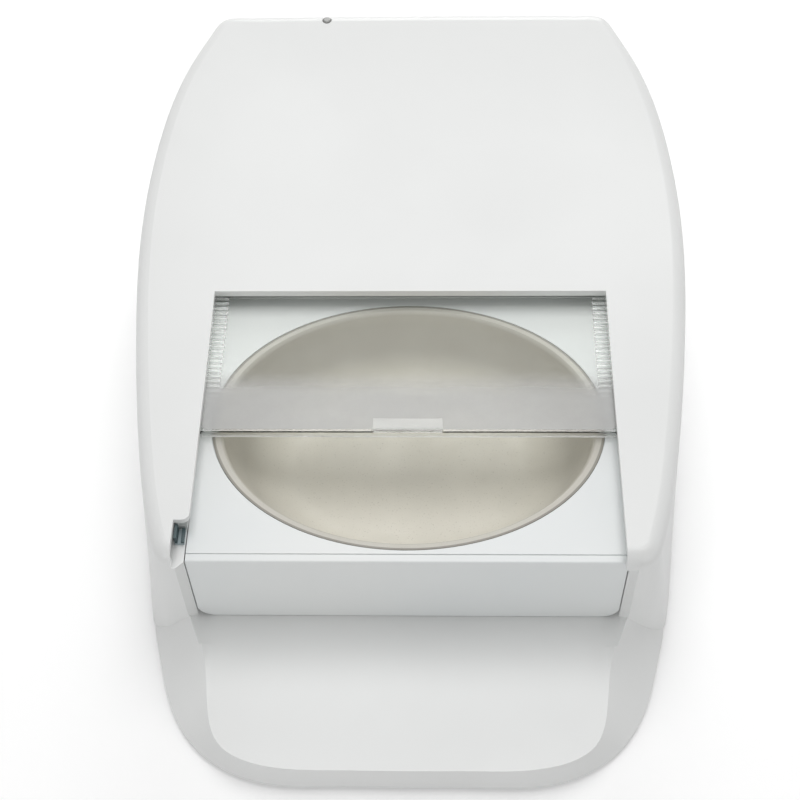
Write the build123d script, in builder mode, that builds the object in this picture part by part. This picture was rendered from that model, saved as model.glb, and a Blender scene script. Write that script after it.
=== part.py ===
"""Microchip pet feeder: a low white housing with a sliding clear cover over an oval bowl.

The feeder stands on four rubber feet.  X runs to the right, Y to the rear and Z up, in
millimetres.  The origin is the centre of the footprint, on the surface it stands on.
The cover is modelled half open: it slides back under the hood, or forward over the bowl,
driven by two pinions that mesh with the racks under its long edges.
"""

import math
import os

from build123d import *

# ---------------------------------------------------------------- driving dimensions
WALL = 2.5  # housing wall
FIT = 0.3  # clearance between parts that seat on each other
RUN = 0.5  # clearance between parts that slide past each other

FRONT_Y = -173.5  # front edge of the housing
REAR_Y = 173.5  # rear edge of the housing
BASE_Z = 2.0  # underside of the housing, held up by the feet
FORM_TOP = 104.0  # height at which the upper outline of the housing is drawn

PORCH_Z = 14.0  # floor of the porch and of the bowl bay
PORCH_HALF = 86.0  # half width of the porch hollow
PORCH_BLEND = 8.0  # radius where the porch floor turns up into its sides
CREST_Z = 20.0  # top of the low front part before the porch is hollowed
NOSE_Y = -109.3  # front face of the two cheeks
NOSE_RADIUS = 10.0  # outer corner of a cheek
CHEEK_Z = 66.3  # top of the cheeks at their front end
LIP_Z = 68.5  # top of the hood at its front lip
HOOD_REAR_Z = 93.5  # top of the hood at the rear
EDGE_RADIUS = 6.0  # rounding of the hood and cheek edges

BAY_HALF = 85.1  # half width of the bowl bay
BAY_FRONT = -106.3
FLARE_HALF = 88.2  # the bay flares out to here at the front of the cheeks
FLARE_END = -119.3  # where the flare has run out in the side of the porch
BAY_REAR = 20.0  # front lip of the hood
BULK_Y = 24.0  # front face of the wall behind the bowl bay
LIP_HALF = 83.4  # half width between the lips that overhang the bay

TRAY_Z = 58.0  # top of the bowl tray
TRAY_THICK = 2.5
BOWL_LONG = 160.0  # bowl rim, left to right
BOWL_SHORT = 120.0  # bowl rim, front to rear
BOWL_Y = -40.5
BOWL_DEPTH = 33.0
BOWL_WALL = 1.2
BOWL_LIP = 3.2

COVER_HALF = 87.5
COVER_LENGTH = 146.0
COVER_THICK = 2.0
COVER_UNDER = 61.0  # underside of the cover sheet
COVER_FRONT = -48.8  # front edge of the cover as photographed
COVER_LIP_Z = 58.8  # lowest edge of the turned-down front lip
TAB_HALF = 14.0
TAB_DEPTH = 6.0
TAB_RISE = 1.2

MODULE = 0.8  # of the racks and gears
PRESSURE = math.radians(20)
BACKLASH = 0.16
RACK_INNER = 78.0
RACK_WIDTH = 6.0
RACK_LEAD = 9.0  # plain strip between the front edge and the first tooth
PINION_TEETH = 18
SHAFT_GEAR_TEETH = 17
MOTOR_GEAR_TEETH = 24
GEAR_WIDTH = 5.0
SHAFT_RADIUS = 3.0
SHAFT_Y = 36.0

# ---------------------------------------------------------------- worked-out places
PITCH = math.pi * MODULE
ADDENDUM = MODULE
DEDENDUM = 1.25 * MODULE
RACK_PITCH_Z = COVER_UNDER - DEDENDUM
PINION_RADIUS = PINION_TEETH * MODULE / 2
SHAFT_Z = RACK_PITCH_Z - PINION_RADIUS
COVER_TOP = COVER_UNDER + COVER_THICK
COVER_REAR = COVER_FRONT + COVER_LENGTH
os.makedirs("parts", exist_ok=True)


def save(piece, name):
    """Label a finished part and write it as its own file."""
    piece.label = name
    export_step(piece, f"parts/{name}.step")


# ---------------------------------------------------------------- housing form
# Half widths of the housing at stations from front to rear: at the foot, and at FORM_TOP.
# Seen from above the body is a long rounded barrel, widest beside the hood.
STATIONS = [  # y, half width at the foot, half width at FORM_TOP
    (-160.0, 79.0, 46.0),
    (-136.0, 95.5, 66.0),
    (-109.0, 104.5, 86.0),
    (-60.0, 112.5, 103.0),
    (0.0, 119.0, 113.5),
    (50.0, 122.0, 117.5),
    (100.0, 119.0, 114.0),
    (145.0, 108.5, 102.5),
]
FRONT_HALF = 38.0  # half width of the nearly straight front edge of the upper outline
REAR_HALF = (99.0, 94.0)  # half width at the rear corners: at the foot, and at FORM_TOP
REAR_RADIUS = 10.0
REAR_PLACES = (80.0, 70.0, 45.0)  # distances from the middle along the rear
END_BOW = 0.5  # the rear bows out this much in the middle
REAR_LEAN = 0.5  # the rear leans in this much up to FORM_TOP
HOOD_LINE = [(60.0, 74.0), (100.0, 81.5), (140.0, 88.5)]  # places on the hood: y, height
CHEEK_LEVEL = (-50.0, 66.4)  # the cheeks stay level back to here
PAST = 5.0  # how far a cutting block reaches past what it cuts
WIDE = 150.0  # half width of a block wider than the housing

# The low front part widens from a narrow crest to the cheeks, its sides sloping to the foot.
LOW_STATIONS = [  # y, half width at the foot, half width of the crest
    (-99.0, 105.2, 98.0),
    (-110.0, 104.0, 85.5),
    (-118.0, 101.8, 76.0),
    (-136.0, 96.5, 72.5),
    (-160.0, 81.0, 70.5),
]
LOW_FRONT = (54.0, 47.0)  # half width of the straight front edge: at the foot, and at the crest
LOW_BOW = 1.0
LOW_LEAN = 3.0


def body_outline(column, inset, rear_y):
    """Closed smooth outline of the housing, the same on the left as on the right."""
    right = [(row[column] - inset, row[0]) for row in STATIONS]
    radius = REAR_RADIUS - inset
    centre = (REAR_HALF[column - 1] - inset - radius, rear_y - END_BOW - radius)
    turns = (math.radians(15), math.radians(45), math.radians(75))
    right += [(centre[0] + radius * math.cos(turn), centre[1] + radius * math.sin(turn)) for turn in turns]
    right += [(x, rear_y - END_BOW * (x / centre[0]) ** 2) for x in REAR_PLACES]
    left = [(-x, y) for x, y in reversed(right)]
    corner = (FRONT_HALF, FRONT_Y + inset)
    Spline((0, FRONT_Y + inset), corner, *right, (0, rear_y), *left, (-corner[0], corner[1]), periodic=True)


def body_form(inset):
    """The whole outer form of the housing drawn in by a wall, before its top is shaped."""
    with BuildPart() as form:
        for level, column, lean in ((BASE_Z, 1, 0), (FORM_TOP, 2, REAR_LEAN)):
            with BuildSketch(Plane.XY.offset(level)):
                with BuildLine():
                    body_outline(column, inset, REAR_Y - inset - lean)
                make_face()
        loft(ruled=True)
    return form.part


def low_form(inset):
    """The low front part, from the foot up to the crest, reaching back into the cheeks."""
    with BuildPart() as form:
        for level, column, lean in ((BASE_Z, 1, 0), (CREST_Z, 2, LOW_LEAN)):
            right = [(row[column] - inset, row[0]) for row in LOW_STATIONS]
            front_y = FRONT_Y + inset + lean
            half = LOW_FRONT[column - 1]
            right += [(half, front_y + LOW_BOW), (half / 2, front_y + LOW_BOW / 5)]
            left = [(-x, y) for x, y in reversed(right)]
            with BuildSketch(Plane.XY.offset(level)):
                with BuildLine():
                    Spline(*right, (0, front_y), *left)
                    Line(left[-1], right[0])
                make_face()
        loft(ruled=True)
    return form.part


def side_block(drop, nose_y):
    """Side view: upright cheek front, then a hood rising gently to the rear."""
    front = (nose_y, CHEEK_Z - drop)
    lip = (BAY_REAR, LIP_Z - drop)
    level = (CHEEK_LEVEL[0], CHEEK_LEVEL[1] - drop)
    hood = [(y, z - drop) for y, z in HOOD_LINE]
    rear = (REAR_Y + PAST, HOOD_REAR_Z - drop)
    with BuildPart() as block:
        with BuildSketch(Plane.YZ.offset(-WIDE)):
            with BuildLine():
                Line((nose_y, BASE_Z), front)
                Spline(front, level, lip, *hood, rear, tangents=[(1, 0), (1, 0.08)])
                Polyline(rear, (rear[0], BASE_Z), (nose_y, BASE_Z))
            make_face()
        extrude(amount=2 * WIDE)
    return block.part


def high_form(inset, nose_y):
    """Cheeks and hood, with the outer corners of the cheeks rounded."""
    with BuildPart() as form:
        add(body_form(inset))
        add(side_block(inset, nose_y), mode=Mode.INTERSECT)
        front_edges = form.edges().filter_by(lambda edge: abs((edge @ 0.5).Y - nose_y) < FIT)
        corners = front_edges.filter_by(lambda edge: abs((edge @ 0).Z - (edge @ 1).Z) > PAST)
        fillet(corners, NOSE_RADIUS - inset)
    return form.part


def slab(x, y, z, mode=Mode.ADD):
    """A box given by its lowest and highest X, Y and Z."""
    with Locations(((x[0] + x[1]) / 2, (y[0] + y[1]) / 2, (z[0] + z[1]) / 2)):
        Box(x[1] - x[0], y[1] - y[0], z[1] - z[0], mode=mode)


def rod(radius, x, y, z, mode=Mode.ADD):
    """An upright round bar at (x, y), from the lowest to the highest Z."""
    with Locations((x, y, (z[0] + z[1]) / 2)):
        Cylinder(radius, z[1] - z[0], mode=mode)


def bar_x(radius, x, y, z, mode=Mode.ADD):
    """A round bar along X at (y, z), from the lowest to the highest X."""
    with Locations(((x[0] + x[1]) / 2, y, z)):
        Cylinder(radius, x[1] - x[0], rotation=(0, 90, 0), mode=mode)


def bar_y(radius, x, y, z, mode=Mode.ADD):
    """A round bar along Y at (x, z), from the lowest to the highest Y."""
    with Locations((x, (y[0] + y[1]) / 2, z)):
        Cylinder(radius, y[1] - y[0], rotation=(90, 0, 0), mode=mode)


def sides(span, side):
    """A span of X for the right side (side = 1) or its mirror image for the left (-1)."""
    return (min(side * span[0], side * span[1]), max(side * span[0], side * span[1]))


# ---------------------------------------------------------------- upper shell
LOW_WALL = 4.5  # wall of the sloping sides of the low front part, measured level
TUB_TOP = 58.3  # top of the bay side walls, where the guide rails sit
BULK_TOP = 58.5  # top of the wall behind the bowl bay
LIP_UNDER = 65.2  # underside of the thickened hood lip
LIP_DEPTH = 3.0
NOTCH_X = -89.4  # the left lip is cut back to here in front of NOTCH_REAR
NOTCH_REAR = -92.3
NOTCH_RADIUS = 3.0  # rounding of the outer corner of that step
SHELF_OUTER = 96.0  # the shelves beside the front of the bay reach out to here
SHELF_REAR = -88.0
POST_RADIUS = 3.5
POST_BORE = 1.2
POST_BORE_DEPTH = 11.0
PORCH_BORE_DEPTH = 6.0
POSTS = [(99.0, -30.0), (105.0, 80.0), (93.5, 147.0), (66.0, -142.0)]
BASE_TOP = 4.5  # top face of the base plate
TOP = 120.0  # above everything
BUTTON_RADIUS = 5.0
BUTTON_X = 15.0
BUTTON_Z = 58.0
BUTTON_GAP = 0.25
LENS_X = -40.5
LENS_Y = 167.0
LENS_RADIUS = 2.2
LENS_FOOT = 84.0
JACK_X = 63.0
JACK_Z = 10.5
JACK_HOLE = 4.0
REAR_CUT = 160.0  # where the bores through the rear wall begin

with BuildPart() as outer:
    add(high_form(0, NOSE_Y))
    fillet(outer.edges().filter_by(lambda edge: (edge @ 0.5).Z > CHEEK_Z - FIT), EDGE_RADIUS)
    add(low_form(0))

with BuildPart() as inner:
    add(high_form(WALL, NOSE_Y + WALL))
    add(low_form(LOW_WALL))


def trough(half, grow, rear_y):
    """A wide channel from the front, its floor turning up into its sides in a soft blend."""
    half += grow
    with BuildPart() as channel:
        slab((-half, half), (FRONT_Y - PAST, rear_y), (PORCH_Z - grow, TOP))
        fillet(channel.edges().filter_by(Axis.Y).sort_by(Axis.Z)[:2], PORCH_BLEND + grow)
    return channel.part


def bay_hollow(grow, top):
    """The bowl bay: straight sides, flaring out to the porch at the front."""
    side = BAY_HALF + grow
    flare = FLARE_HALF + grow
    porch = PORCH_HALF + grow - FIT
    with BuildPart() as hollow:
        with BuildSketch(Plane.XY.offset(BASE_Z)):
            with BuildLine():
                Polyline((0, BULK_Y + grow), (side, BULK_Y + grow), (side, BAY_FRONT), (flare, NOSE_Y))
                Polyline((flare, NOSE_Y), (porch, FLARE_END), (0, FLARE_END))
                mirror(about=Plane.YZ)
            make_face()
        extrude(amount=top - BASE_Z)
        add(trough(FLARE_HALF, grow, REAR_Y), mode=Mode.INTERSECT)
    return hollow.part


def lip_hollow():
    """Opening between the cheek lips, with a step outwards at the front of the left one."""
    front = NOSE_Y - PAST
    with BuildPart() as hollow:
        with BuildSketch(Plane.XY.offset(TUB_TOP)) as opening:
            with BuildLine():
                corner = (-LIP_HALF, NOTCH_REAR)
                Polyline((LIP_HALF, front), (LIP_HALF, BAY_REAR), (-LIP_HALF, BAY_REAR), corner)
                Polyline(corner, (NOTCH_X, NOTCH_REAR), (NOTCH_X, front), (LIP_HALF, front))
            make_face()
            turns = opening.vertices().filter_by(lambda corner: abs(corner.Y - NOTCH_REAR) < FIT)
            fillet(turns.sort_by(Axis.X)[-1], NOTCH_RADIUS)
        extrude(amount=TOP - TUB_TOP)
    return hollow.part


porch_skin = trough(PORCH_HALF, WALL, NOSE_Y + WALL)
porch_space = trough(PORCH_HALF, 0, NOSE_Y)
bay_skin = bay_hollow(WALL, TUB_TOP)
bay_space = bay_hollow(0, TUB_TOP)
lip_space = lip_hollow()

with BuildPart() as tub:
    add(porch_skin)
    slab((-WIDE, WIDE), (FRONT_Y - PAST, REAR_Y), (CREST_Z, TOP), mode=Mode.SUBTRACT)
    add(bay_skin)
    slab((-WIDE, WIDE), (BULK_Y - FIT, REAR_Y), (BULK_TOP, TOP), mode=Mode.SUBTRACT)
    slab((-LIP_HALF, LIP_HALF), (BULK_Y, BULK_Y + WALL), (BASE_TOP, BULK_TOP))
    slab((-BAY_HALF, BAY_HALF), (BAY_REAR, BAY_REAR + LIP_DEPTH), (LIP_UNDER, TOP))
    for side in (-1, 1):
        slab(sides((BAY_HALF, SHELF_OUTER), side), (NOSE_Y, SHELF_REAR), (TUB_TOP - WALL, TUB_TOP))
    for post_x, post_y in POSTS:
        for side in (-1, 1):
            depth = POST_BORE_DEPTH if post_y > NOSE_Y else PORCH_BORE_DEPTH
            rod(POST_RADIUS, side * post_x, post_y, (BASE_TOP, TOP))
            rod(POST_BORE, side * post_x, post_y, (BASE_TOP, BASE_TOP + depth), mode=Mode.SUBTRACT)

with BuildPart() as cavity:
    add(inner.part)
    add(tub.part, mode=Mode.SUBTRACT)

with BuildPart() as upper_shell:
    add(outer.part)
    add(cavity.part, mode=Mode.SUBTRACT)
    add(porch_space, mode=Mode.SUBTRACT)
    add(bay_space, mode=Mode.SUBTRACT)
    add(lip_space, mode=Mode.SUBTRACT)
    for side in (-1, 1):
        hole = BUTTON_RADIUS + BUTTON_GAP
        bar_y(hole, side * BUTTON_X, (REAR_CUT, REAR_Y + PAST), BUTTON_Z, mode=Mode.SUBTRACT)
    bar_y(JACK_HOLE, JACK_X, (REAR_CUT, REAR_Y + PAST), JACK_Z, mode=Mode.SUBTRACT)
    rod(LENS_RADIUS, LENS_X, LENS_Y, (LENS_FOOT, TOP), mode=Mode.SUBTRACT)
save(upper_shell.part, "upper_shell")

# ---------------------------------------------------------------- base plate
PLATE_GAP = 0.3  # all round, inside the housing wall
SCREW_RADIUS = 1.1
SCREW_HEAD = 3.0
SCREW_HEAD_DEPTH = 1.5
HEAD_GAP = 0.3
FEET = [(80.0, -124.0), (96.0, 126.0)]
FOOT_RADIUS = 8.0
FOOT_TOP = 3.5
FOOT_GAP = 0.15
CELL_RADIUS = 13.1
CELL_PITCH = 27.0
CELL_FRONT = 110.5
CELL_LENGTH = 48.5
NUB_RADIUS = 3.2
NUB_LENGTH = 1.5
CELLS = 4
DOOR_TOP = 4.2
CELL_Z = DOOR_TOP + CELL_RADIUS
BOX_WALL = 2.0
BOX_HALF = CELLS * CELL_PITCH / 2 + 0.5  # inside half width of the battery box
BOX_FRONT = 104.5
BOX_REAR = 161.5
BOX_ROOF = CELL_Z + CELL_RADIUS + 0.5
DOOR_GAP = 0.4
BOARD_Z = 42.0
BOARD_HALF = 50.0
BOARD_FRONT = 104.0
BOARD_REAR = 150.0
BOARD_THICK = 1.6
BOARD_POSTS = (44.0, 110.0, 144.0)
RAIL_INNER = 84.8
RAIL_OUTER = 89.0
RAIL_POSTS = (66.0, 104.0, 146.0)
RAIL_POST_WIDTH = 5.0
LOW_BOARD_Z = BASE_TOP + 1.0
LOW_BOARD_HALF = 22.0
LOW_BOARD_Y = (-98.0, -70.0)

with BuildPart() as base_plate:
    add(high_form(WALL + PLATE_GAP, NOSE_Y + WALL + PLATE_GAP))
    add(low_form(LOW_WALL + 2 * PLATE_GAP))
    slab((-WIDE, WIDE), (FRONT_Y, REAR_Y), (BASE_TOP, TOP), mode=Mode.SUBTRACT)
    box_x = (-BOX_HALF - BOX_WALL, BOX_HALF + BOX_WALL)
    box_y = (BOX_FRONT - BOX_WALL, BOX_REAR + BOX_WALL)
    slab(box_x, box_y, (BASE_Z, BOX_ROOF + BOX_WALL))
    slab((-BOX_HALF, BOX_HALF), (BOX_FRONT, BOX_REAR), (BASE_Z, BOX_ROOF), mode=Mode.SUBTRACT)
    for side in (-1, 1):
        for foot_x, foot_y in FEET:
            recess = (BASE_Z, FOOT_TOP)
            rod(FOOT_RADIUS + FOOT_GAP, side * foot_x, foot_y, recess, mode=Mode.SUBTRACT)
        for post_x, post_y in POSTS:
            head = (BASE_Z, BASE_Z + SCREW_HEAD_DEPTH)
            through = (BASE_Z, BASE_TOP)
            rod(SCREW_HEAD + HEAD_GAP, side * post_x, post_y, head, mode=Mode.SUBTRACT)
            rod(SCREW_RADIUS + HEAD_GAP, side * post_x, post_y, through, mode=Mode.SUBTRACT)
        for post_y in BOARD_POSTS[1:]:
            rod(POST_RADIUS, side * BOARD_POSTS[0], post_y, (BOX_ROOF, BOARD_Z))
            rod(POST_BORE, side * BOARD_POSTS[0], post_y, (BOX_ROOF + BOX_WALL, BOARD_Z), mode=Mode.SUBTRACT)
        for post_y in RAIL_POSTS:
            across = sides((RAIL_INNER, RAIL_OUTER), side)
            slab(across, (post_y, post_y + RAIL_POST_WIDTH), (BASE_TOP, TUB_TOP))
        for pad_y in LOW_BOARD_Y:
            inset = math.copysign(POST_RADIUS, pad_y - sum(LOW_BOARD_Y) / 2)
            pad_x = side * (LOW_BOARD_HALF - POST_RADIUS)
            rod(POST_RADIUS, pad_x, pad_y - inset, (BASE_TOP, LOW_BOARD_Z))
save(base_plate.part, "base_plate")

foot_number = 0
for foot_x, foot_y in FEET:
    for side in (-1, 1):
        foot_number += 1
        with BuildPart() as foot:
            rod(FOOT_RADIUS, side * foot_x, foot_y, (0, FOOT_TOP))
            chamfer(foot.edges().filter_by(GeomType.CIRCLE).sort_by(Axis.Z)[0], 0.8)
        save(foot.part, f"foot_{foot_number}")

with BuildPart() as base_screws:
    for post_x, post_y in POSTS:
        for side in (-1, 1):
            depth = POST_BORE_DEPTH if post_y > NOSE_Y else PORCH_BORE_DEPTH
            rod(SCREW_HEAD, side * post_x, post_y, (BASE_Z + 0.1, BASE_Z + SCREW_HEAD_DEPTH))
            rod(POST_BORE, side * post_x, post_y, (BASE_Z + 1, BASE_TOP + depth - 1))
            cross = (BASE_Z, BASE_Z + 0.9)
            slab((side * post_x - 1.6, side * post_x + 1.6), (post_y - 0.4, post_y + 0.4), cross,
                 mode=Mode.SUBTRACT)
            slab((side * post_x - 0.4, side * post_x + 0.4), (post_y - 1.6, post_y + 1.6), cross,
                 mode=Mode.SUBTRACT)
save(base_screws.part, "base_screws")

with BuildPart() as battery_door:
    door_half = BOX_HALF - DOOR_GAP
    door_y = (BOX_FRONT + DOOR_GAP, BOX_REAR - DOOR_GAP)
    slab((-door_half, door_half), door_y, (BASE_Z, DOOR_TOP))
    with Locations((0, BOX_FRONT + 9.0, BASE_Z)):
        with GridLocations(0, 2.4, 1, 5):
            Box(26.0, 1.2, 1.2, mode=Mode.SUBTRACT)
save(battery_door.part, "battery_door")

with BuildPart() as battery_plates:
    for end in ((BOX_FRONT, BOX_FRONT + 0.5), (BOX_REAR - 0.5, BOX_REAR)):
        for pair in (-1, 1):
            reach = sides((3.0, 2 * CELL_PITCH - 3.0), pair)
            slab(reach, end, (DOOR_TOP + 4.0, BOX_ROOF - 3.0))
save(battery_plates.part, "battery_plates")

SPRING_RADIUS = 6.0
SPRING_WIRE = 0.5
SPRING_TURNS = 4
SPRING_ROOM = CELL_FRONT - BOX_FRONT - 0.5  # from the contact plate to the cell
with BuildPart() as one_spring:
    with BuildLine():
        coil_height = SPRING_ROOM - 2 * SPRING_WIRE
        coil = Helix(pitch=coil_height / SPRING_TURNS, height=coil_height, radius=SPRING_RADIUS)
    with BuildSketch(Plane(origin=coil @ 0, z_dir=coil % 0)):
        Circle(SPRING_WIRE)
    sweep(path=coil, is_frenet=True)

spring_y = BOX_FRONT + 0.5 + SPRING_WIRE
spring_places = [
    Location(((cell - (CELLS - 1) / 2) * CELL_PITCH, spring_y, CELL_Z), (-90, 0, 0))
    for cell in range(CELLS)
]
with BuildPart() as battery_springs:
    with Locations(*spring_places):
        add(one_spring.part)
save(battery_springs.part, "battery_springs")

for cell in range(CELLS):
    cell_x = (cell - (CELLS - 1) / 2) * CELL_PITCH
    with BuildPart() as battery_cell:
        bar_y(CELL_RADIUS - 0.05, cell_x, (CELL_FRONT, CELL_FRONT + CELL_LENGTH), CELL_Z)
        chamfer(battery_cell.edges().filter_by(GeomType.CIRCLE), 0.6)
        nub = (CELL_FRONT + CELL_LENGTH, CELL_FRONT + CELL_LENGTH + NUB_LENGTH)
        bar_y(NUB_RADIUS, cell_x, nub, CELL_Z)
    save(battery_cell.part, f"battery_cell_{cell + 1}")

# ---------------------------------------------------------------- guide rails
RAIL_LEDGE = 60.8  # top of the ledge that the cover edge slides on
RAIL_TOP = 63.6
RAIL_WEB = 88.0  # inner face of the upright web
RAIL_FRONT = -106.0
RAIL_FRONT_LEFT = -91.8  # the left rail stops behind the sensor notch
RAIL_REAR = 160.0

for name, side, front in (("right", 1, RAIL_FRONT), ("left", -1, RAIL_FRONT_LEFT)):
    with BuildPart() as guide_rail:
        slab(sides((RAIL_INNER, RAIL_OUTER), side), (front, RAIL_REAR), (TUB_TOP, RAIL_LEDGE))
        slab(sides((RAIL_WEB, RAIL_OUTER), side), (front, RAIL_REAR), (TUB_TOP, RAIL_TOP))
    save(guide_rail.part, f"guide_rail_{name}")

# ---------------------------------------------------------------- bowl tray and bowl
TRAY_GAP = 0.4  # to the bay sides
TRAY_CORNER = 7.0  # lower long edges, clear of the blend of the bay and porch
TRAY_LIFT = 0.3  # over the bay floor
TRAY_HALF = BAY_HALF - TRAY_GAP
TRAY_FRONT = BAY_FRONT + 0.3
TRAY_REAR = BULK_Y - TRAY_GAP
TRAY_BOTTOM = PORCH_Z + TRAY_LIFT
SEAT_DEPTH = 1.2
SEAT_GAP = 0.25
GROOVE_Y = -102.7
GROOVE = 0.5
BOWL_FLOOR_Z = 25.0
BOWL_FLOOR_RADIUS = 47.0
BOWL_SHRINK = BOWL_SHORT / BOWL_LONG

with BuildPart() as bowl_tray:
    slab((-TRAY_HALF, TRAY_HALF), (TRAY_FRONT, TRAY_REAR), (TRAY_BOTTOM, TRAY_Z))
    fillet(bowl_tray.edges().filter_by(Axis.Y).sort_by(Axis.Z)[:2], TRAY_CORNER)
    fillet(bowl_tray.edges().filter_by(Axis.X).group_by(Axis.Y)[0].sort_by(Axis.Z)[-1], 0.8)
    hollow_x = (-TRAY_HALF + TRAY_THICK, TRAY_HALF - TRAY_THICK)
    hollow_y = (TRAY_FRONT + TRAY_THICK, TRAY_REAR - TRAY_THICK)
    slab(hollow_x, hollow_y, (0, TRAY_Z - TRAY_THICK), mode=Mode.SUBTRACT)
    with BuildSketch(Plane.XY.offset(TRAY_Z)):
        with Locations((0, BOWL_Y)):
            Ellipse(BOWL_LONG / 2 + SEAT_GAP, BOWL_SHORT / 2 + SEAT_GAP)
    extrude(amount=-SEAT_DEPTH, mode=Mode.SUBTRACT)
    with BuildSketch(Plane.XY.offset(TRAY_Z)):
        with Locations((0, BOWL_Y)):
            throat = BOWL_LONG / 2 - BOWL_LIP
            Ellipse(throat + SEAT_GAP, throat * BOWL_SHRINK + SEAT_GAP)
    extrude(amount=-2 * TRAY_THICK, mode=Mode.SUBTRACT)
    groove_y = (GROOVE_Y, GROOVE_Y + GROOVE)
    groove_x = (-TRAY_HALF, TRAY_HALF)
    slab(groove_x, groove_y, (TRAY_Z - GROOVE, TRAY_Z), mode=Mode.SUBTRACT)
save(bowl_tray.part, "bowl_tray")

# The inner face runs down from the rim in a soft curve: places on it as (x, z), x along BOWL_LONG.
BOWL_CURVE = [(75.6, 54.0), (72.6, 44.0), (66.0, 34.5), (56.0, 28.4)]
with BuildPart() as bowl:
    with BuildSketch(Plane.XZ):
        with BuildLine():
            rim = BOWL_LONG / 2
            lip_inner = (rim - BOWL_LIP, TRAY_Z)
            inner_floor = (BOWL_FLOOR_RADIUS - BOWL_WALL, BOWL_FLOOR_Z + BOWL_WALL)
            Polyline((0, BOWL_FLOOR_Z + BOWL_WALL), inner_floor)
            Spline(inner_floor, *reversed(BOWL_CURVE), lip_inner, tangents=[(1, 0), (1, 0.6)])
            seat_z = TRAY_Z - SEAT_DEPTH
            Polyline(lip_inner, (rim, TRAY_Z), (rim, seat_z), (rim - BOWL_LIP, seat_z))
            under = [(x + BOWL_WALL * 0.8, z - BOWL_WALL * 0.8) for x, z in BOWL_CURVE]
            outer_floor = (BOWL_FLOOR_RADIUS, BOWL_FLOOR_Z)
            Spline((rim - BOWL_LIP, seat_z), *under, outer_floor, tangents=[(0, -1), (-1, 0)])
            Polyline(outer_floor, (0, BOWL_FLOOR_Z), (0, BOWL_FLOOR_Z + BOWL_WALL))
        make_face()
    revolve(axis=Axis.Z)
    scale(by=(1, BOWL_SHRINK, 1))
bowl_part = bowl.part.moved(Location((0, BOWL_Y, 0)))
save(bowl_part, "bowl")

# ---------------------------------------------------------------- clear cover
COVER_CORNER = 3.0
COVER_LIP_THICK = 1.6
COVER_LIP_HALF = 83.4
RACK_LAST = 1.5  # plain strip behind the last tooth
rack_pitch_width = PITCH / 2 - BACKLASH / 2
root_half = rack_pitch_width / 2 + DEDENDUM * math.tan(PRESSURE)
tip_half = rack_pitch_width / 2 - ADDENDUM * math.tan(PRESSURE)
first_tooth = math.ceil((COVER_FRONT + RACK_LEAD - SHAFT_Y) / PITCH)
last_tooth = math.floor((COVER_REAR - RACK_LAST - SHAFT_Y) / PITCH)
tooth_count = last_tooth - first_tooth + 1
rack_middle = SHAFT_Y + (first_tooth + last_tooth) / 2 * PITCH

with BuildPart() as cover:
    slab((-COVER_HALF, COVER_HALF), (COVER_FRONT, COVER_REAR), (COVER_UNDER, COVER_TOP))
    fillet(cover.edges().filter_by(Axis.Z), COVER_CORNER)
    lip_y = (COVER_FRONT, COVER_FRONT + COVER_LIP_THICK)
    slab((-COVER_LIP_HALF, COVER_LIP_HALF), lip_y, (COVER_LIP_Z, COVER_UNDER + COVER_THICK / 2))
    tab_y = (COVER_FRONT, COVER_FRONT + TAB_DEPTH)
    slab((-TAB_HALF, TAB_HALF), tab_y, (COVER_UNDER + COVER_THICK / 2, COVER_TOP + TAB_RISE))
    fillet(cover.edges().filter_by(Axis.X).sort_by(Axis.Z)[-2:], 0.8)
    for side in (-1, 1):
        with BuildSketch(Plane.YZ.offset(RACK_INNER if side > 0 else -RACK_INNER - RACK_WIDTH)):
            with Locations((rack_middle, COVER_UNDER)):
                with GridLocations(PITCH, 1, tooth_count, 1):
                    Polygon(
                        (-root_half, COVER_THICK / 4),
                        (-root_half, 0),
                        (-tip_half, -ADDENDUM - DEDENDUM),
                        (tip_half, -ADDENDUM - DEDENDUM),
                        (root_half, 0),
                        (root_half, COVER_THICK / 4),
                        align=None,
                    )
        extrude(amount=RACK_WIDTH)
save(cover.part, "cover")

# ---------------------------------------------------------------- drive train
FLANK_STEPS = 5


def gear_outline(teeth, thinning, turn):
    """Closed outline of an involute spur gear, a tooth centred at the angle `turn`."""
    pitch_radius = teeth * MODULE / 2
    base_radius = pitch_radius * math.cos(PRESSURE)
    tip_radius = pitch_radius + ADDENDUM
    root_radius = pitch_radius - DEDENDUM
    half_at_pitch = (math.pi * MODULE / 2 - thinning) / 2 / pitch_radius
    half_at_base = half_at_pitch + math.tan(PRESSURE) - PRESSURE
    flank = [(root_radius, half_at_base)]
    for step in range(FLANK_STEPS + 1):
        radius = base_radius + (tip_radius - base_radius) * step / FLANK_STEPS
        slope = math.acos(base_radius / radius)
        flank.append((radius, half_at_base - (math.tan(slope) - slope)))
    points = []
    for tooth in range(teeth):
        middle = turn + 2 * math.pi * tooth / teeth
        rising = [(r, middle - angle) for r, angle in flank]
        falling = [(r, middle + angle) for r, angle in reversed(flank)]
        points += [(r * math.cos(a), r * math.sin(a)) for r, a in rising + falling]
    return points


def gear_along_x(teeth, turn, x_from, width, y, z, bore):
    """A spur gear whose axis lies along X, with a round bore."""
    with BuildPart() as gear:
        with BuildSketch(Plane(origin=(x_from, y, z), x_dir=(0, 1, 0), z_dir=(1, 0, 0))):
            Polygon(*gear_outline(teeth, BACKLASH / 2, turn), align=None)
            Circle(bore, mode=Mode.SUBTRACT)
        extrude(amount=width)
    return gear.part


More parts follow.
